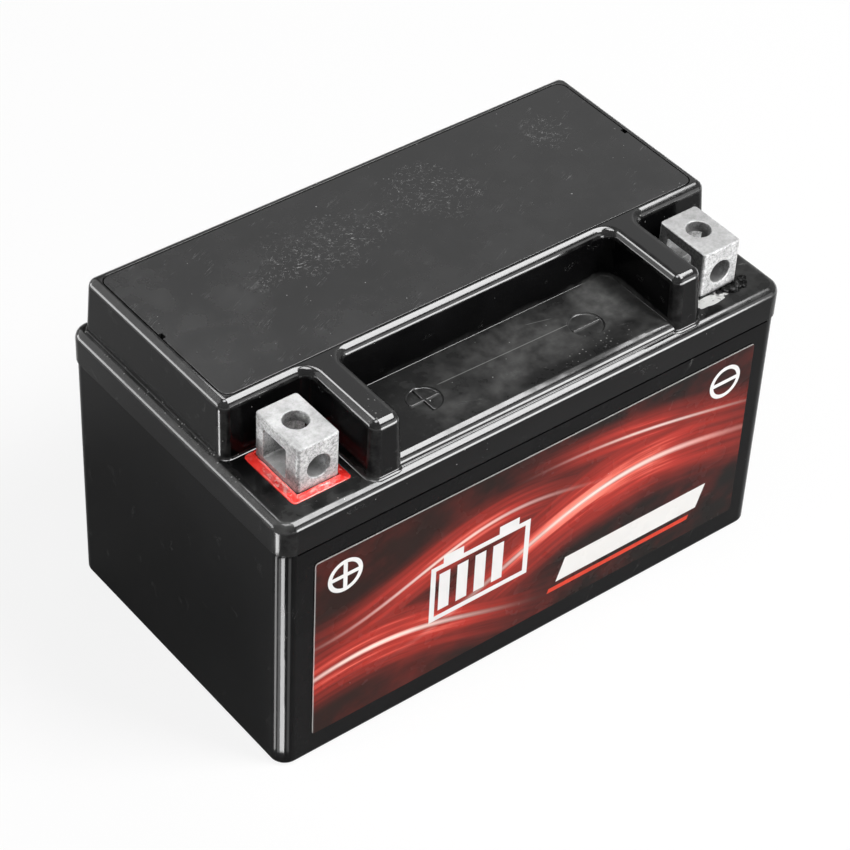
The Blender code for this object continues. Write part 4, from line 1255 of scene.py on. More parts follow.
@dataclass
class Lid:
    """The lid: skirted slab, raised deck with towers, recess with its marks, and the valve well."""

    case: CaseSizes
    corner: float = 4.5
    rim_radius: float = 2.3
    skirt_wall: float = 1.4
    skirt_edge: float = 0.2
    roof: float = 2.0
    deck_side: Point2 = (71.73, 72.43)
    deck_rear: Point2 = (39.75, 40.4)
    deck_front: Point2 = (-15.55, -16.7)
    deck_corner: float = 2.5
    deck_edge: float = 2.3
    pocket_corner: float = 3.0
    tower_outer: Point2 = (48.38, 49.2)
    tower_inner: Point2 = (40.22, 40.0)
    tower_front: Point2 = (-40.45, -41.4)
    tower_wall: float = 1.7
    foot_fillet: float = 0.7
    step_floor: float = 80.0
    step_front: float = -40.85
    step_edge: float = 2.2
    recess_foot: float = 0.18
    ledge: float = 2.2
    well_floor: float = 82.3
    well_floor_thickness: float = 1.5
    chimney_top: float = 87.0
    chimney_radius: float = 4.0
    chimney_bore: float = 2.2
    cell_rib: float = 2.4
    plus_place: Point2 = (-24.1, -27.7)
    minus_place: Point2 = (23.5, -28.7)
    mark_radius: float = 4.5
    mark_depth: float = 0.5
    mark_bar: float = 8.3
    mark_bar_width: float = 0.9
    boss_radius: float = 7.2
    boss_foot: float = 71.0
    shank_radius: float = 3.6
    ring_seat_radius: float = 5.5
    ring_seat_floor: float = 74.3

    def crown_outline(self, height: float) -> Outline:
        """Plan of the raised deck with its two towers at a height.

        Args:
            height: the Z at which the leaning walls are cut.

        Returns:
            The outline, with corners as tight at the foot as at the top.
        """
        share = (self.case.top - height) / (self.case.top - self.case.shelf)
        walls = (
            self.deck_side,
            self.deck_rear,
            self.deck_front,
            self.tower_outer,
            self.tower_inner,
            self.tower_front,
        )
        side, rear, front, outer, inner, nose = (top + (foot - top) * share for top, foot in walls)
        left = [
            Corner(-side, rear, self.deck_corner),
            Corner(-side, front, self.deck_corner),
            Corner(-outer, front, self.pocket_corner),
            Corner(-outer, nose, self.deck_corner),
            Corner(-inner, nose, self.deck_corner),
            Corner(-inner, front, self.pocket_corner),
        ]
        return Outline.rounded(left + [Corner(-c.x, c.y, c.radius) for c in reversed(left)], 12)

    def crown(self) -> bpy.types.Mesh:
        """The deck and towers with leaning walls, a rounded top edge and a small fillet at the foot."""
        shelf, low = self.case.shelf, self.foot_fillet
        edge, start = self.deck_edge, self.case.top - self.deck_edge
        foot, head = self.crown_outline(shelf), self.crown_outline(start)
        fillet = arc((low, shelf + low), low, 262, 180, 6)
        rings = [foot.ring(fillet[0][0] + 0.1, shelf - SINK)]
        rings += [foot.ring(offset, height) for offset, height in fillet]
        rings += [head.ring(offset, height) for offset, height in arc((-edge, start), edge, 0, 90, 10)]
        return loft(rings)

    def slab(self) -> bpy.types.Mesh:
        """The skirted slab with a rounded rim."""
        outline = Outline.rectangle(self.case.half_length, self.case.half_width, self.corner, 14)
        edge, rim = self.skirt_edge, self.rim_radius
        profile = [
            *arc((-edge, self.case.skirt_foot + edge), edge, -90, 0, 4),
            *arc((-rim, self.case.shelf - rim), rim, 0, 90, 10),
        ]
        return prism(outline, profile)

    def step(self) -> bpy.types.Mesh:
        """The low step that makes the recess floor, rounded along its front."""
        reach = (self.tower_inner[0] + self.tower_outer[0]) / 2
        rear = self.deck_front[0] + self.pocket_corner
        front = self.step_front
        outline = Outline.rectangle(reach, (rear - front) / 2, self.step_edge + 0.4, 4).moved(0, (rear + front) / 2)
        edge, fillet = self.step_edge, self.step_floor - self.case.shelf - self.step_edge
        profile = [
            (fillet, self.case.shelf - SINK),
            *arc((fillet, self.case.shelf + fillet), fillet, 262, 190, 4),
            *arc((-edge, self.step_floor - edge), edge, 0, 90, 10),
        ]
        return prism(outline, profile)

    def recess_fillet(self) -> bpy.types.Mesh:
        """A thin fillet along the foot of the recess walls."""
        floor, size, nose = self.step_floor, self.recess_foot, self.tower_front[1]
        inside = [
            p
            for p in self.crown_outline(floor).points
            if abs(p.x) < self.tower_inner[0] and p.y > nose + self.deck_corner
        ]
        inside.sort(key=lambda p: math.atan2(p.x, p.y - nose))
        profile = [
            (-SINK, floor - SINK),
            (size, floor - SINK),
            *arc((size, floor + size), size, 262, 186, 5),
            (-SINK, floor + size),
        ]
        bm = bmesh.new()
        rings = [
            [bm.verts.new((p.x + p.out_x * o, p.y + p.out_y * o, z)) for o, z in profile] for p in inside
        ]
        for low, high in zip(rings, rings[1:]):
            for i in range(len(profile)):
                n = (i + 1) % len(profile)
                bm.faces.new((low[i], low[n], high[n], high[i]))
        bm.faces.new(rings[0])
        bm.faces.new(list(reversed(rings[-1])))
        return to_mesh(bm)

    def hollows_below(self) -> list[tuple[Join, bpy.types.Mesh]]:
        """The skirt's inside, the chamber over each cell and the hollow towers."""
        case = self.case
        inner = Outline.rectangle(
            case.half_length - self.skirt_wall, case.half_width - self.skirt_wall, self.corner - self.skirt_wall, 8
        )
        roof = case.shelf - self.roof
        half = (case.cell_pitch - self.cell_rib) / 2
        front, rear = case.plate_front + self.ledge, case.plate_rear - self.ledge
        chambers = [
            ((x - half, front, roof - SINK), (x + half, rear, self.well_floor - self.well_floor_thickness))
            for x in case.cell_centres()
        ]
        middle = (self.tower_inner[0] + self.tower_outer[0]) / 2
        thin = (self.tower_outer[0] - self.tower_inner[0]) / 2 - self.tower_wall - 0.4
        slots = [
            (
                (x - thin, self.tower_front[0] + self.tower_wall, roof - SINK),
                (x + thin, self.deck_front[0] - self.tower_wall, case.top - 2.8),
            )
            for x in (-middle, middle)
        ]
        skirt = prism(inner, [(0, case.skirt_foot - 2), (0, roof)])
        return [(Join.CUT, skirt), (Join.CUT, blocks(chambers)), (Join.CUT, blocks(slots))]

    def well(self) -> list[tuple[Join, bpy.types.Mesh]]:
        """The cover plate's seat, the valve well under it, its vent channels and the chimneys."""
        case = self.case
        middle_y = (case.plate_front + case.plate_rear) / 2
        half_y = (case.plate_rear - case.plate_front) / 2
        ledge_z = case.top - case.plate_thickness - case.gap
        seat = Outline.rectangle(
            case.plate_half_length + case.gap, half_y + case.gap, case.plate_corner + case.gap, 12
        ).moved(0, middle_y)
        soft = 0.1
        seat_profile = [(0, ledge_z), *arc((soft, case.top - soft), soft, 180, 98, 4), (soft, case.top + 1)]
        hole = Outline.rectangle(
            case.plate_half_length - self.ledge, half_y - self.ledge, case.plate_corner, 6
        ).moved(0, middle_y)
        inner_x = case.plate_half_length - self.ledge - 1.0
        channels = [
            (
                (min(s * inner_x, s * case.plate_half_length), case.valve_y - case.notch_half, ledge_z - 1.2),
                (max(s * inner_x, s * case.plate_half_length), case.valve_y + case.notch_half, ledge_z + 1.0),
            )
            for s in (-1, 1)
        ]
        places = [(x, case.valve_y, 0) for x in case.cell_centres()]
        chimney = [(self.chimney_radius, self.well_floor - SINK), (self.chimney_radius, self.chimney_top)]
        bore = [(self.chimney_bore, self.well_floor - 4), (self.chimney_bore, self.chimney_top + 2)]
        return [
            (Join.CUT, prism(seat, seat_profile)),
            (Join.CUT, prism(hole, [(0, self.well_floor), (0, ledge_z + 1)])),
            (Join.CUT, blocks(channels)),
            (Join.ADD, turned(chimney, places, steps=32)),
            (Join.CUT, turned(bore, places, steps=24)),
        ]

    def terminal_seats(self) -> list[tuple[Join, bpy.types.Mesh]]:
        """At each terminal: the boss, the bed for its resin, the ring's seat and the hole for the shank."""
        case = self.case
        places = [(x, case.terminal_y, 0) for x in (-case.terminal_x, case.terminal_x)]
        roof = case.shelf - self.roof
        lumps = [(Join.ADD, turned([(self.boss_radius, self.boss_foot), (self.boss_radius, roof + SINK)], places))]
        for x, y, _ in places:
            bed = Outline.rectangle(case.seal_half_x, case.seal_half_y, 1.5, 8).moved(x, y)
            bed_profile = [(0, case.seal_floor), *arc((0.2, case.shelf - 0.2), 0.2, 180, 98, 4), (0.2, case.shelf + 1)]
            lumps.append((Join.CUT, prism(bed, bed_profile)))
        ring_seat = [(self.ring_seat_radius, self.ring_seat_floor), (self.ring_seat_radius, case.seal_floor + 1)]
        shank = [(self.shank_radius, self.boss_foot - 2), (self.shank_radius, case.seal_floor + 1)]
        return [*lumps, (Join.CUT, turned(ring_seat, places)), (Join.CUT, turned(shank, places))]

    def mark(self, centre: Point2, bars: Sequence[Point2]) -> bpy.types.Mesh:
        """A polarity mark's dish with the bars that stay standing in it.

        Args:
            centre: its place on the recess floor.
            bars: length along X and Y of each bar.

        Returns:
            The cutter.
        """
        floor, deep = self.step_floor, self.mark_depth
        bowl = arc((self.mark_radius - deep, floor), deep, 270, 352, 8)
        dish = turned(
            [*bowl, (self.mark_radius + 0.08, floor + 0.02), (self.mark_radius + 0.08, floor + 1)],
            [(*centre, 0)],
            steps=64,
        )
        lumps = []
        for long_x, long_y in bars:
            bar = Outline.rectangle(long_x / 2, long_y / 2, 0.3, 4).moved(*centre)
            lean = [(0.15, floor - deep - 1), (0.15, floor - deep), (-0.1, floor - 0.12), (-0.25, floor - 0.06)]
            lumps.append((Join.CUT, prism(bar, lean)))
        return combined(dish, lumps)

    def mesh(self) -> bpy.types.Mesh:
        """The whole lid."""
        bar = (self.mark_bar, self.mark_bar_width)
        lumps = [
            (Join.ADD, self.crown()),
            (Join.ADD, self.step()),
            (Join.ADD, self.recess_fillet()),
            *self.hollows_below(),
            *self.well(),
            *self.terminal_seats(),
            (Join.CUT, self.mark(self.plus_place, [bar, bar[::-1]])),
            (Join.CUT, self.mark(self.minus_place, [bar])),
        ]
        return combined(self.slab(), lumps)

    def build(self) -> None:
        """Build and dress the lid."""
        place("lid_shell", self.mesh(), CASE_PLASTIC.material(), "black_case_plastic", "lid")


@dataclass
class CoverPlate:
    """The flat plate let into the deck over the valves."""

    case: CaseSizes
    edge: float = 0.15
    hold_down_radius: float = 3.0
    hold_down_length: float = 1.2

    def mesh(self) -> bpy.types.Mesh:
        """The plate with a vent notch in each end and the hold-downs under it."""
        case = self.case
        half_y = (case.plate_rear - case.plate_front) / 2
        outline = Outline.rectangle(case.plate_half_length, half_y, case.plate_corner, 12)
        under = case.top - case.plate_thickness
        profile = [(0, under), *arc((-self.edge, case.top - self.edge), self.edge, 0, 90, 5)]
        plate = prism(outline.moved(0, (case.plate_front + case.plate_rear) / 2), profile)
        places = [(x, case.valve_y, 0) for x in case.cell_centres()]
        stub = [(self.hold_down_radius, under - self.hold_down_length), (self.hold_down_radius, under + SINK)]
        notches = [
            (
                (s * case.plate_half_length - case.notch_depth, case.valve_y - case.notch_half, under - 1),
                (s * case.plate_half_length + case.notch_depth, case.valve_y + case.notch_half, case.top + 1),
            )
            for s in (-1, 1)
        ]
        return combined(plate, [(Join.ADD, turned(stub, places, steps=32)), (Join.CUT, blocks(notches))])

    def build(self) -> None:
        """Build and dress the plate."""
        place("cover_plate_skin", self.mesh(), PLATE_PLASTIC.material(), "black_plate_plastic", "cover_plate")


class Pole(Enum):
    """The two terminals, with the side of the case that each stands on."""

    POSITIVE = -1
    NEGATIVE = 1

    @property
    def word(self) -> str:
        """The pole's name as the solids spell it."""
        return self.name.lower()


@dataclass
class Terminal:
    """A square cast terminal with a nut pocket, two bolt holes and the resin round its foot."""

    case: CaseSizes
    pole: Pole
    half_x: float = 5.75
    half_y: float = 8.2
    back_shift: float = 0.3
    top: float = 90.9
    body_foot: float = 78.2
    foot: float = 76.5
    foot_inset: float = 0.5
    edge: float = 0.9
    top_edge: float = 0.4
    painted_shade_depth: float = 1.8
    pocket_low_y: float = -3.6
    pocket_high_y: float = 4.9
    pocket_low: float = 79.6
    pocket_high: float = 87.9
    hole: float = 3.1
    flare: float = 0.28
    shank_radius: float = 3.3
    shank_end: float = 70.0
    resin_spacing: float = 0.5
    resin_over: Point2 = (0.0, 0.4)
    spill_lumps: tuple[Point3, ...] = (
        (57.4, -36.1, 0.8),
        (59.2, -36.4, 1.1),
        (61.0, -36.3, 1.3),
        (62.8, -36.6, 1.5),
        (64.8, -36.3, 1.6),
        (66.6, -35.9, 1.5),
        (67.9, -35.0, 1.1),
        (63.8, -37.6, 0.8),
        (66.3, -37.3, 0.9),
    )
    smear: tuple[float, float, float, float] = (55.8, -37.3, 4.4, 1.25)

    def place_x(self) -> float:
        """The terminal's X."""
        return self.pole.value * self.case.terminal_x

    def place_y(self) -> float:
        """The Y of the middle of its body."""
        return self.case.terminal_y + self.back_shift

    def mesh(self) -> bpy.types.Mesh:
        """The terminal's body, foot and shank, with the pocket and holes cut."""
        x, y, soft = self.place_x(), self.place_y(), self.top_edge
        body = Outline.rectangle(self.half_x, self.half_y, self.edge, 6).moved(x, y)
        profile = [
            *arc((-0.3, self.body_foot + 0.3), 0.3, -90, 0, 4),
            *arc((-soft, self.top - soft), soft, 0, 90, 6),
        ]
        foot = Outline.rectangle(self.half_x - self.foot_inset, self.half_y - self.foot_inset, 0.3, 4).moved(x, y)
        middle_y = (self.pocket_low_y + self.pocket_high_y) / 2
        middle_z = (self.pocket_low + self.pocket_high) / 2
        flare = self.flare
        down = [
            (self.hole, middle_z),
            *[(self.hole + flare + o, z) for o, z in arc((0, self.top - flare), flare, 180, 100, 5)],
            (self.hole + flare, self.top + 1),
        ]
        inward = [
            (self.hole, self.half_y + middle_y),
            *[(self.hole + flare + o, -d) for o, d in arc((0, -flare), flare, 180, 100, 5)],
            (self.hole + flare, -1.0),
        ]
        shank = [(self.shank_radius, self.shank_end), (self.shank_radius, self.foot + SINK)]
        return combined(
            prism(body, profile),
            [
                (Join.ADD, prism(foot, [(0, self.foot), (0, self.body_foot + SINK)])),
                (Join.ADD, turned(shank, [(x, self.case.terminal_y, 0)], steps=32)),
                (Join.CUT, self.pocket()),
                (Join.CUT, turned(down, [(x, y + middle_y, 0)])),
                (Join.CUT, turned(inward, [(x, y - self.half_y, middle_z)], Axis.Y)),
            ],
        )

    def pocket(self) -> bpy.types.Mesh:
        """The nut pocket across the terminal, with softened mouths."""
        half_wide = (self.pocket_high_y - self.pocket_low_y) / 2
        half_tall = (self.pocket_high - self.pocket_low) / 2
        outline = Outline.rectangle(half_tall, half_wide, 0.5, 5)
        soft = 0.12
        ends = [(soft, -self.half_x - 1), *reversed(arc((soft, -self.half_x + soft), soft, 180, 260, 4))]
        profile = [*ends, *[(o, -z) for o, z in reversed(ends)]]
        made = prism(outline, profile)
        turn = Matrix.Rotation(math.pi / 2, 4, "Y")
        middle = (
            self.place_x() * MM,
            (self.place_y() + (self.pocket_low_y + self.pocket_high_y) / 2) * MM,
            (self.pocket_low + self.pocket_high) / 2 * MM,
        )
        made.transform(Matrix.Translation(middle) @ turn)
        return made

    def resin(self) -> bpy.types.Mesh:
        """The poured resin: flat over its bed, with a raised uneven lip that climbs the terminal's foot."""
        case = self.case
        lumpy = 1.0 if self.pole is Pole.POSITIVE else 2.4
        over_x, over_y = self.resin_over
        outer = Outline.rectangle(case.seal_half_x + over_x, case.seal_half_y + over_y, 1.0, 6, self.resin_spacing)
        middle = Vector((self.place_x(), case.terminal_y, 0.0))
        rows = [
            (0.0, -0.9),
            (0.0, -0.1),
            (0.03, 0.12),
            (0.1, 0.2),
            (0.4, 0.2),
            (0.7, 0.2),
            (0.86, 0.3),
            (0.95, 0.5),
            (1.0, 0.65),
            (1.0, -0.9),
        ]
        seed = Vector((self.pole.value * 7.3, 2.1, 0.0))
        rings = []
        for share, lift in rows:
            ring = []
            for p in outer.points:
                at = Vector((p.x, p.y, 0.0))
                wobble = noise.noise(at * 0.35 + seed)
                fine = noise.noise(Vector((p.x, p.y, share * 3)) * 0.9 + seed)
                inner_x = max(-self.half_x - 0.05, min(self.half_x + 0.05, p.x))
                inner_y = max(-self.half_y - 0.05, min(self.half_y + 0.05, p.y - self.back_shift)) + self.back_shift
                x, y = p.x + (inner_x - p.x) * share, p.y + (inner_y - p.y) * share
                swell = lift if lift < 0 else lift * (1 + 0.35 * lumpy * wobble) + 0.05 * lumpy * fine
                ring.append(middle + Vector((x, y, case.shelf + swell)))
            rings.append(ring)
        return loft(rings, closed=True)

    def spill(self) -> list[bpy.types.Mesh]:
        """The lumps of spilt resin in front of the negative terminal and the thin smear beside them."""
        seed = Vector((3.7, 1.3, 8.1))
        made = []
        for x, y, radius in self.spill_lumps:
            bm = bmesh.new()
            bmesh.ops.create_icosphere(bm, subdivisions=3, radius=radius)
            middle = Vector((x, y, self.case.shelf))
            for vert in bm.verts:
                swell = 1 + 0.3 * noise.noise(vert.co * 1.3 + middle + seed)
                vert.co = middle + vert.co * swell * Vector((1.0, 1.0, 0.8))
            made.append(to_mesh(bm))
        x, y, reach_x, reach_y = self.smear
        rim = []
        for k in range(72):
            turn = math.tau * k / 72
            swell = 1 + 0.45 * noise.noise(Vector((math.cos(turn), math.sin(turn), 0.0)) * 1.9 + seed)
            rim.append((reach_x * swell * math.cos(turn), reach_y * swell * math.sin(turn)))
        rings = [
            [Vector((x + p * share, y + q * share, self.case.shelf + lift)) for p, q in rim]
            for share, lift in ((1.0, -0.2), (1.0, 0.02), (0.94, 0.1), (0.5, 0.14), (0.1, 0.14))
        ]
        return [*made, loft(rings)]

    def note_painted_pocket_shade(self, mesh: bpy.types.Mesh) -> None:
        """Note at each vertex, as a point value "inner", how deep it lies in the pocket and the holes, so that the
        metal can paint shade there.

        Args:
            mesh: the placed mesh, in metres.
        """
        values = []
        for vert in mesh.vertices:
            x, y, z = vert.co / MM
            in_x, in_y = self.half_x - abs(x - self.place_x()), self.half_y - abs(y - self.place_y())
            values.append(min(1.0, max(0.0, min(in_x, in_y, self.top - z) / self.painted_shade_depth)))
        mesh.attributes.new("inner", "FLOAT", "POINT").data.foreach_set("value", values)

    def build(self) -> None:
        """Build and dress the terminal and its resin."""
        word = self.pole.word
        metal = TERMINAL_METAL.material()
        block = place(f"{word}_terminal_block", self.mesh(), metal, "cast_terminal_metal", f"{word}_terminal")
        self.note_painted_pocket_shade(block.data)
        positive = self.pole is Pole.POSITIVE
        finish, slot = (RED_RESIN, "red_sealing_resin") if positive else (BLACK_RESIN, "black_sealing_resin")
        resin = self.resin()
        if not positive:
            resin = combined(resin, [(Join.ADD, lump) for lump in self.spill()])
        place(f"{word}_terminal_resin", resin, finish.material(), slot, f"{word}_terminal_seal")


@dataclass(frozen=True)
class Ribbon:
    """One wave of light on the label: its line, its width, where it is brightest and how far it runs."""

    middle: float
    pace: float
    start: float
    swing: float
    slope: float
    width: float
    peak: float
    reach: float
    strength: float


@dataclass
class FrontLabel:
    """The printed film on the front, with a plain generic print and the polarity signs."""

    left: float = -65.8
    right: float = 67.1
    low: float = 7.0
    high: float = 62.9
    back: float = -42.95
    thickness: float = 0.15
    corner: float = 0.9
    rim_line: float = 0.2
    plus_x: float = -57.25
    minus_x: float = 58.4
    sign_z: float = 54.8
    sign_radius: float = 4.35
    sign_line: float = 0.52
    sign_box: tuple[float, float, float, float, float] = (-32.0, -2.0, 24.0, 42.0, 1.5)
    charge_bars: int = 5
    strip_box: tuple[float, float, float, float] = (8.0, 54.0, 15.0, 22.0)
    thin_box: tuple[float, float, float, float] = (5.4, 51.4, 12.2, 13.6)
    ribbons: tuple[Ribbon, ...] = (
        Ribbon(31.0, 0.045, 0.4, 7.0, 0.1, 15.0, 20.0, 78.0, 1.0),
        Ribbon(43.0, 0.06, 2.2, 5.0, 0.04, 10.0, -26.0, 62.0, 0.85),
        Ribbon(18.0, 0.05, 4.0, 6.0, -0.05, 13.0, -46.0, 60.0, 1.0),
        Ribbon(52.0, 0.035, 1.0, 4.0, -0.1, 8.0, 36.0, 52.0, 0.8),
    )

    def mesh(self) -> bpy.types.Mesh:
        """The thin film with a soft edge, standing on the case's front."""
        half_x, half_z = (self.right - self.left) / 2, (self.high - self.low) / 2
        outline = Outline.rectangle(half_x, half_z, self.corner, 8)
        soft = 0.06
        profile = [(0, 0), *arc((-soft, self.thickness - soft), soft, 0, 90, 3)]
        made = prism(outline, profile)
        made.transform(Matrix.Rotation(math.pi / 2, 4, "X"))
        middle = ((self.left + self.right) / 2 * MM, self.back * MM, (self.low + self.high) / 2 * MM)
        made.transform(Matrix.Translation(middle))
        return made

    def signs(self, graph: Graph, x: Socket, z: Socket) -> Socket:
        """The plus and minus signs in their rings.

        Args:
            graph: the material's graph.
            x: place along the label.
            z: place up the label.

        Returns:
            Their mask.
        """
        rise = graph.math("SUBTRACT", z, self.sign_z)
        marks = []
        for middle, crossed in ((self.plus_x, True), (self.minus_x, False)):
            across = graph.math("SUBTRACT", x, middle)
            away = graph.math("SQRT", graph.add(graph.times(across, across), graph.times(rise, rise)))
            ring = graph.math("ABSOLUTE", graph.math("SUBTRACT", away, self.sign_radius))
            inside = graph.between(away, self.sign_radius, self.sign_radius + 0.1, 1.0, 0.0)
            flat = graph.times(inside, self.line(graph, rise))
            parts = [self.line(graph, ring), flat]
            if crossed:
                parts.append(graph.times(inside, self.line(graph, across)))
            marks.append(graph.most(*parts))
        return graph.most(*marks)

    def line(self, graph: Graph, away: Socket) -> Socket:
        """A line where a distance is near nothing."""
        return graph.between(graph.math("ABSOLUTE", away), self.sign_line, self.sign_line + 0.12, 1.0, 0.0)

    def waves(self, graph: Graph, x: Socket, z: Socket) -> tuple[Socket, Socket]:
        """Ribbons of warm light that sweep across the label.

        Args:
            graph: the material's graph.
            x: place along the label.
            z: place up the label.

        Returns:
            The soft glow and the thin bright cores.
        """
        glows, cores = [], []
        for ribbon in self.ribbons:
            rise = graph.math("SINE", graph.add(graph.times(x, ribbon.pace), ribbon.start))
            curve = graph.add(graph.times(rise, ribbon.swing), graph.times(x, ribbon.slope), ribbon.middle)
            away = graph.math("ABSOLUTE", graph.math("SUBTRACT", z, curve))
            streak = graph.noise(graph.vector(graph.times(x, 0.03), graph.times(away, 0.6), ribbon.start), 1.0, 3.0)
            fade = graph.between(graph.math("ABSOLUTE", graph.math("SUBTRACT", x, ribbon.peak)), 0.0, ribbon.reach, 1.0, 0.0)
            soft = graph.between(away, 0.0, ribbon.width, 1.0, 0.0)
            glows.append(graph.times(soft, fade, graph.between(streak, 0.25, 0.75, 0.35, 1.0), ribbon.strength))
            thin = graph.between(away, 0.0, ribbon.width * 0.09, 1.0, 0.0)
            cores.append(graph.times(thin, graph.times(fade, fade), ribbon.strength))
        return graph.most(*glows), graph.most(*cores)

    def slab(self, graph: Graph, x: Socket, z: Socket, box: tuple[float, float, float, float], slant: float) -> Socket:
        """A solid slanted bar.

        Args:
            graph: the material's graph.
            x: place along the label.
            z: place up the label.
            box: its left, right, low and high.
            slant: how far it leans for each millimetre up.

        Returns:
            Its mask.
        """
        left, right, low, high = box
        along = graph.math("SUBTRACT", x, graph.times(graph.math("SUBTRACT", z, low), slant))
        over = [
            graph.math("ABSOLUTE", graph.math("SUBTRACT", along, (left + right) / 2)),
            graph.math("ABSOLUTE", graph.math("SUBTRACT", z, (low + high) / 2)),
        ]
        sides = [((right - left) / 2, over[0]), ((high - low) / 2, over[1])]
        return graph.times(*[graph.between(d, half - 0.06, half + 0.06, 1.0, 0.0) for half, d in sides])

    def pictogram(self, graph: Graph, x: Socket, z: Socket) -> Socket:
        """A plain sign of a battery: a frame, two poles and charge bars.

        Args:
            graph: the material's graph.
            x: place along the label.
            z: place up the label.

        Returns:
            Its mask.
        """
        left, right, low, high, line = self.sign_box
        frame_mask = self.slab(graph, x, z, (left, right, low, high), 0.0)
        hollow = self.slab(graph, x, z, (left + line, right - line, low + line, high - line), 0.0)
        outline = graph.math("SUBTRACT", frame_mask, hollow)
        pole = (right - left) / 5
        parts = [
            self.slab(graph, x, z, (left + pole * 0.6, left + pole * 1.6, high - 0.1, high + 2.4), 0.0),
            self.slab(graph, x, z, (right - pole * 1.6, right - pole * 0.6, high - 0.1, high + 2.4), 0.0),
        ]
        room = (right - left - 2 * line) / self.charge_bars
        for k in range(self.charge_bars - 1):
            start = left + line + room * (k + 0.2)
            parts.append(self.slab(graph, x, z, (start, start + room * 0.6, low + 2 * line, high - 2 * line), 0.0))
        return graph.most(outline, *parts)

    def rim(self, graph: Graph, x: Socket, z: Socket) -> Socket:
        """The pale cut edge along the film's left and top, where it stands off the case.

        Args:
            graph: the material's graph.
            x: place along the label.
            z: place up the label.

        Returns:
            Its mask, at half strength.
        """
        squares, past = [], 2 * self.corner
        for place_on, first, last in ((x, self.left, self.right + past), (z, self.low - past, self.high)):
            away = graph.math("ABSOLUTE", graph.math("SUBTRACT", place_on, (first + last) / 2))
            beyond = graph.most(0.0, graph.math("SUBTRACT", away, (last - first) / 2 - self.corner))
            squares.append(graph.times(beyond, beyond))
        reach = graph.math("SQRT", graph.add(*squares))
        inner = self.corner - self.rim_line
        return graph.between(reach, inner - 0.1, inner, 0.0, 0.5)

    def material(self) -> bpy.types.Material:
        """Build the printed film."""
        material, graph, shader = new_material("printed_label_film")
        spot = graph.position()
        x, _, z = graph.apart(spot)
        ground = graph.mix(graph.between(x, -70.0, 50.0), (0.026, 0.011, 0.0085), (0.013, 0.0105, 0.0095))
        drift = graph.noise(graph.stretched(spot, (1.0, 1.0, 1.6), (0, 20, 0)), 0.045, 4.0, 0.6)
        warm = graph.mix(graph.between(drift, 0.42, 0.75, 0.0, 0.4), ground, (0.2, 0.022, 0.016))
        glow, core = self.waves(graph, x, z)
        lit = graph.mix(glow, warm, (0.86, 0.065, 0.045))
        lit = graph.mix(graph.between(glow, 0.5, 0.95), lit, (1.0, 0.26, 0.19))
        lit = graph.mix(core, lit, (1.0, 0.82, 0.74))
        lit = graph.mix(self.slab(graph, x, z, self.strip_box, 0.35), lit, (0.84, 0.83, 0.81))
        lit = graph.mix(self.slab(graph, x, z, self.thin_box, 0.35), lit, (0.7, 0.06, 0.03))
        lit = graph.mix(self.pictogram(graph, x, z), lit, (0.84, 0.83, 0.82))
        print_colour = graph.mix(self.signs(graph, x, z), lit, (0.88, 0.87, 0.86))
        specks = graph.group(EFFECTS.specks(), Position=spot, Spacing=2.2, Size=0.2, Density=0.03).outputs[0]
        paled = graph.mix(graph.most(self.rim(graph, x, z), graph.times(specks, 0.7)), print_colour, (0.7, 0.7, 0.68))
        graph.feed(shader.inputs["Base Color"], paled)
        smudge = graph.group(EFFECTS.smudge(), Position=spot, Size=20.0).outputs[0]
        graph.feed(shader.inputs["Roughness"], graph.between(smudge, 0.0, 1.0, 0.2, 0.32))
        shader.inputs["Specular IOR Level"].default_value = 0.05
        return material

    def build(self) -> None:
        """Build and dress the label."""
        place("front_label_film", self.mesh(), self.material(), "printed_label_film", "front_label")


class Innards:
    """The pieces inside the case, which keep their solids and get finishes."""

    FINISHES = {
        "valve_rubber": RUBBER,
        "positive_plate_lead": POSITIVE_PASTE,
        "negative_plate_lead": NEGATIVE_PASTE,
        "glass_fibre_mat": GLASS_FIBRE,
        "bare_lead": BARE_LEAD,
        "black_sealing_resin": BLACK_RESIN,
    }

    def build(self) -> None:
        """Dress every solid that no finer piece stands for."""
        slots = {part["node"]: part["material_slot"] for part in frame["record"]["subparts"]}
        made: dict[str, bpy.types.Material] = {}
        for name, solid in frame["nodes"].items():
            if solid.hide_render:
                continue
            slot = slots[name]
            if slot not in made:
                made[slot] = self.FINISHES[slot].material()
            solid.data.materials.clear()
            solid.data.materials.append(made[slot])
            LOG.info("%s: dressed as %s", name, slot)


class Duty(Enum):
    """What a lamp is for: lighting colours, showing in glossy surfaces, or both."""

    LIGHT = "light"
    SHINE = "shine"
    BOTH = "both"


@dataclass(frozen=True)
class SoftBox:
    """A flat lamp: where it is, where it faces, its size in metres and how bright its face is."""

    name: str
    spot: Point3
    target: Point3
    width: float
    height: float
    brightness: float
    duty: Duty
    spread: float = 180.0

    def build(self) -> None:
        """Hang the lamp."""
        data = bpy.data.lights.new(self.name, "AREA")
        data.shape = "RECTANGLE"
        data.size, data.size_y = self.width, self.height
        data.energy = self.brightness * math.pi * self.width * self.height
        if self.spread < 180.0:
            half = math.radians(self.spread / 2)
            data.spread = 2 * half
            data.energy *= (math.tan(half) - half) / math.tan(half)
        lamp = bpy.data.objects.new(self.name, data)
        bpy.context.scene.collection.objects.link(lamp)
        lamp.location = self.spot
        away = Vector(self.spot) - Vector(self.target)
        lamp.rotation_euler = away.to_track_quat("Z", "Y").to_euler()
        lamp.visible_camera = False
        lamp.visible_diffuse = self.duty is not Duty.SHINE
        lamp.visible_glossy = self.duty is not Duty.LIGHT


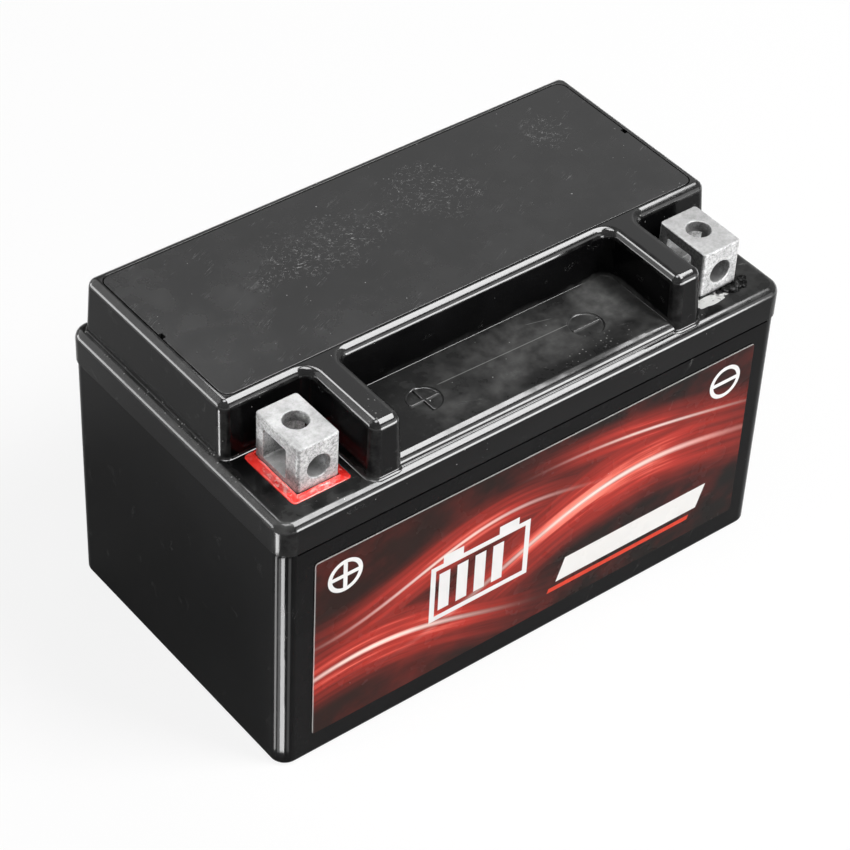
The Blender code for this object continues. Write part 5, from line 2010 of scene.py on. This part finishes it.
def foot_card(step: int) -> SoftBox:
    """One of the cards beside the near corner's foot, each lower than the last, where the bright line widens.

    Args:
        step: its number, from 1.

    Returns:
        The lamp.
    """
    corner, reach, turn = Vector((-0.0736, -0.0414, 0.0)), 0.004, math.radians(227.0 + 4.0 * step)
    tall = 0.016 * (4 - step)
    face = corner + Vector((0.0, 0.0, tall / 2))
    spot = face + reach * Vector((math.cos(turn), math.sin(turn), 0.0))
    return SoftBox(f"corner_foot_card_{step}", tuple(spot), tuple(face), 0.00042, tall, 100.0, Duty.SHINE, 140.0)


@dataclass
class Studio:
    """The floor, the lamps and the camera."""

    azimuth: float = -39.817
    elevation: float = 41.650
    roll: float = 3.034
    distance: float = 0.710656
    aim: Point3 = (0.0, 0.0, 0.0465)
    shift: Point2 = (-0.000553, -0.005389)
    focal_pixels: float = 2894.702
    frame_pixels: float = 850.0
    sensor: float = 36.0
    floor_half: float = 6.0
    floor_white: float = 0.86
    floor_glossy: float = 0.05
    boxes: tuple[SoftBox, ...] = (
        SoftBox("key_softbox", (0.62, -0.75, 1.3), (0.0, 0.0, 0.04), 0.6, 0.6, 20.0, Duty.LIGHT),
        SoftBox("seal_fill", (-0.17, -0.02, 0.2), (-0.064, -0.03, 0.077), 0.05, 0.05, 24.0, Duty.LIGHT, 40.0),
        SoftBox("rear_panel", (0.85, 0.75, 0.93), (0.0, 0.0, 0.08), 0.9, 0.7, 0.55, Duty.SHINE),
        SoftBox("overhead_panel", (0.45, -0.34, 1.0), (0.45, -0.34, 0.0), 0.54, 1.08, 15.0, Duty.SHINE),
        SoftBox("front_strip", (0.096, -0.243, 0.046), (0.096, 0.0, 0.046), 0.228, 0.09, 12.8, Duty.SHINE),
        SoftBox("front_glow", (0.3, -0.52, 0.17), (0.0, 0.0, 0.08), 0.5, 0.33, 1.5, Duty.SHINE),
        SoftBox("left_rear_panel", (-0.5, 0.78, 0.65), (0.0, 0.0, 0.08), 1.2, 0.9, 1.2, Duty.SHINE),
        SoftBox("near_strip", (-0.03, 0.09, 0.262), (-0.03, 0.09, 0.0), 0.06, 0.08, 11.0, Duty.SHINE),
        SoftBox("low_left_strip", (-0.47, 0.38, 0.11), (-0.06, 0.0, 0.08), 0.5, 0.18, 7.0, Duty.SHINE),
        SoftBox("corner_top_card", (-0.1, -0.03, 0.9), (-0.1, -0.03, 0.0), 0.34, 0.3, 12.0, Duty.SHINE),
        SoftBox("lid_corner_card", (-0.0826, -0.0405, 0.0655), (-0.0746, -0.0406, 0.0655), 0.0038, 0.008, 65.0, Duty.SHINE, 140.0),
        SoftBox("deck_corner_card", (-0.168, -0.008, 0.015), (-0.0715, -0.014, 0.086), 0.04, 0.04, 95.0, Duty.SHINE, 20.0),
        SoftBox("corner_card", (-0.07695, -0.0436, 0.032), (-0.0736, -0.0414, 0.032), 0.00225, 0.064, 122.0, Duty.SHINE, 140.0),
        SoftBox("corner_gap_card", (-0.07755, -0.0419, 0.032), (-0.0736, -0.0414, 0.032), 0.0022, 0.064, 19.0, Duty.SHINE, 140.0),
        foot_card(1),
        foot_card(2),
        foot_card(3),
        SoftBox("corner_left_card", (-0.0783, -0.039, 0.032), (-0.0744, -0.04, 0.032), 0.0015, 0.064, 30.0, Duty.SHINE, 140.0),
        SoftBox("corner_right_card", (-0.07345, -0.0462, 0.032), (-0.0724, -0.0423, 0.032), 0.00175, 0.064, 11.0, Duty.SHINE, 140.0),
    )

    def camera(self) -> None:
        """Set the camera at the photograph's angle."""
        a, e, r = (math.radians(v) for v in (self.azimuth, self.elevation, self.roll))
        back = Vector((math.sin(a) * math.cos(e), -math.cos(a) * math.cos(e), math.sin(e)))
        level = Vector((math.cos(a), math.sin(a), 0.0))
        upright = back.cross(level)
        right = level * math.cos(r) + upright * math.sin(r)
        up = upright * math.cos(r) - level * math.sin(r)
        spot = Vector(self.aim) + right * self.shift[0] + up * self.shift[1] + back * self.distance
        data = bpy.data.cameras.new("photo_camera")
        data.sensor_width = self.sensor
        data.lens = self.focal_pixels / self.frame_pixels * self.sensor
        data.clip_start, data.clip_end = 0.01, 50.0
        camera = bpy.data.objects.new("photo_camera", data)
        bpy.context.scene.collection.objects.link(camera)
        turn = Matrix((right, up, back)).transposed().to_4x4()
        camera.matrix_world = Matrix.Translation(spot) @ turn
        bpy.context.scene.camera = camera

    def floor(self) -> None:
        """Lay a plain pale floor."""
        bm = bmesh.new()
        bmesh.ops.create_grid(bm, x_segments=1, y_segments=1, size=self.floor_half)
        mesh = bpy.data.meshes.new("floor")
        bm.to_mesh(mesh)
        bm.free()
        material, graph, shader = new_material("pale_floor")
        spot = graph.node("ShaderNodeTexCoord").outputs["Object"]
        tone = graph.noise(spot, 3.0, 2.0)
        graph.feed(shader.inputs["Base Color"], graph.mix(tone, (0.94, 0.94, 0.94), (0.96, 0.96, 0.96)))
        shader.inputs["Roughness"].default_value = 0.9
        shader.inputs["Specular IOR Level"].default_value = 0.0
        path = graph.node("ShaderNodeLightPath")
        rays = (("Is Camera Ray", 1.0), ("Is Glossy Ray", self.floor_glossy), ("Is Transmission Ray", 1.0))
        seen = graph.most(*[graph.times(path.outputs[ray], share) for ray, share in rays])
        blend = graph.node("ShaderNodeMixShader")
        graph.feed(blend.inputs[0], graph.times(seen, self.floor_white))
        graph.feed(blend.inputs[1], shader.outputs[0])
        graph.feed(blend.inputs[2], graph.node("ShaderNodeEmission").outputs[0])
        graph.feed(graph.tree.nodes["Material Output"].inputs["Surface"], blend.outputs[0])
        mesh.materials.append(material)
        piece = bpy.data.objects.new("floor", mesh)
        bpy.context.scene.collection.objects.link(piece)
        piece.location.z = -0.0002

    def world(self) -> None:
        """Fill the room with even pale light."""
        world = bpy.data.worlds.new("pale_room")
        world.use_nodes = True
        background = world.node_tree.nodes["Background"]
        background.inputs["Color"].default_value = (1.0, 1.0, 1.0, 1.0)
        background.inputs["Strength"].default_value = 0.36
        bpy.context.scene.world = world

    def build(self) -> None:
        """Set up the whole studio."""
        self.camera()
        self.floor()
        self.world()
        for lamp in self.boxes:
            lamp.build()
        bpy.context.scene.view_settings.view_transform = "Standard"


def main() -> None:
    """Build the studio, then every sub-assembly in order."""
    logging.basicConfig(level=logging.INFO, format="%(name)s: %(message)s")
    Studio().build()
    case = CaseSizes()
    Container(case).build()
    Lid(case).build()
    CoverPlate(case).build()
    for pole in Pole:
        Terminal(case, pole).build()
    FrontLabel().build()
    Innards().build()


if __name__ == "__main__":
    main()
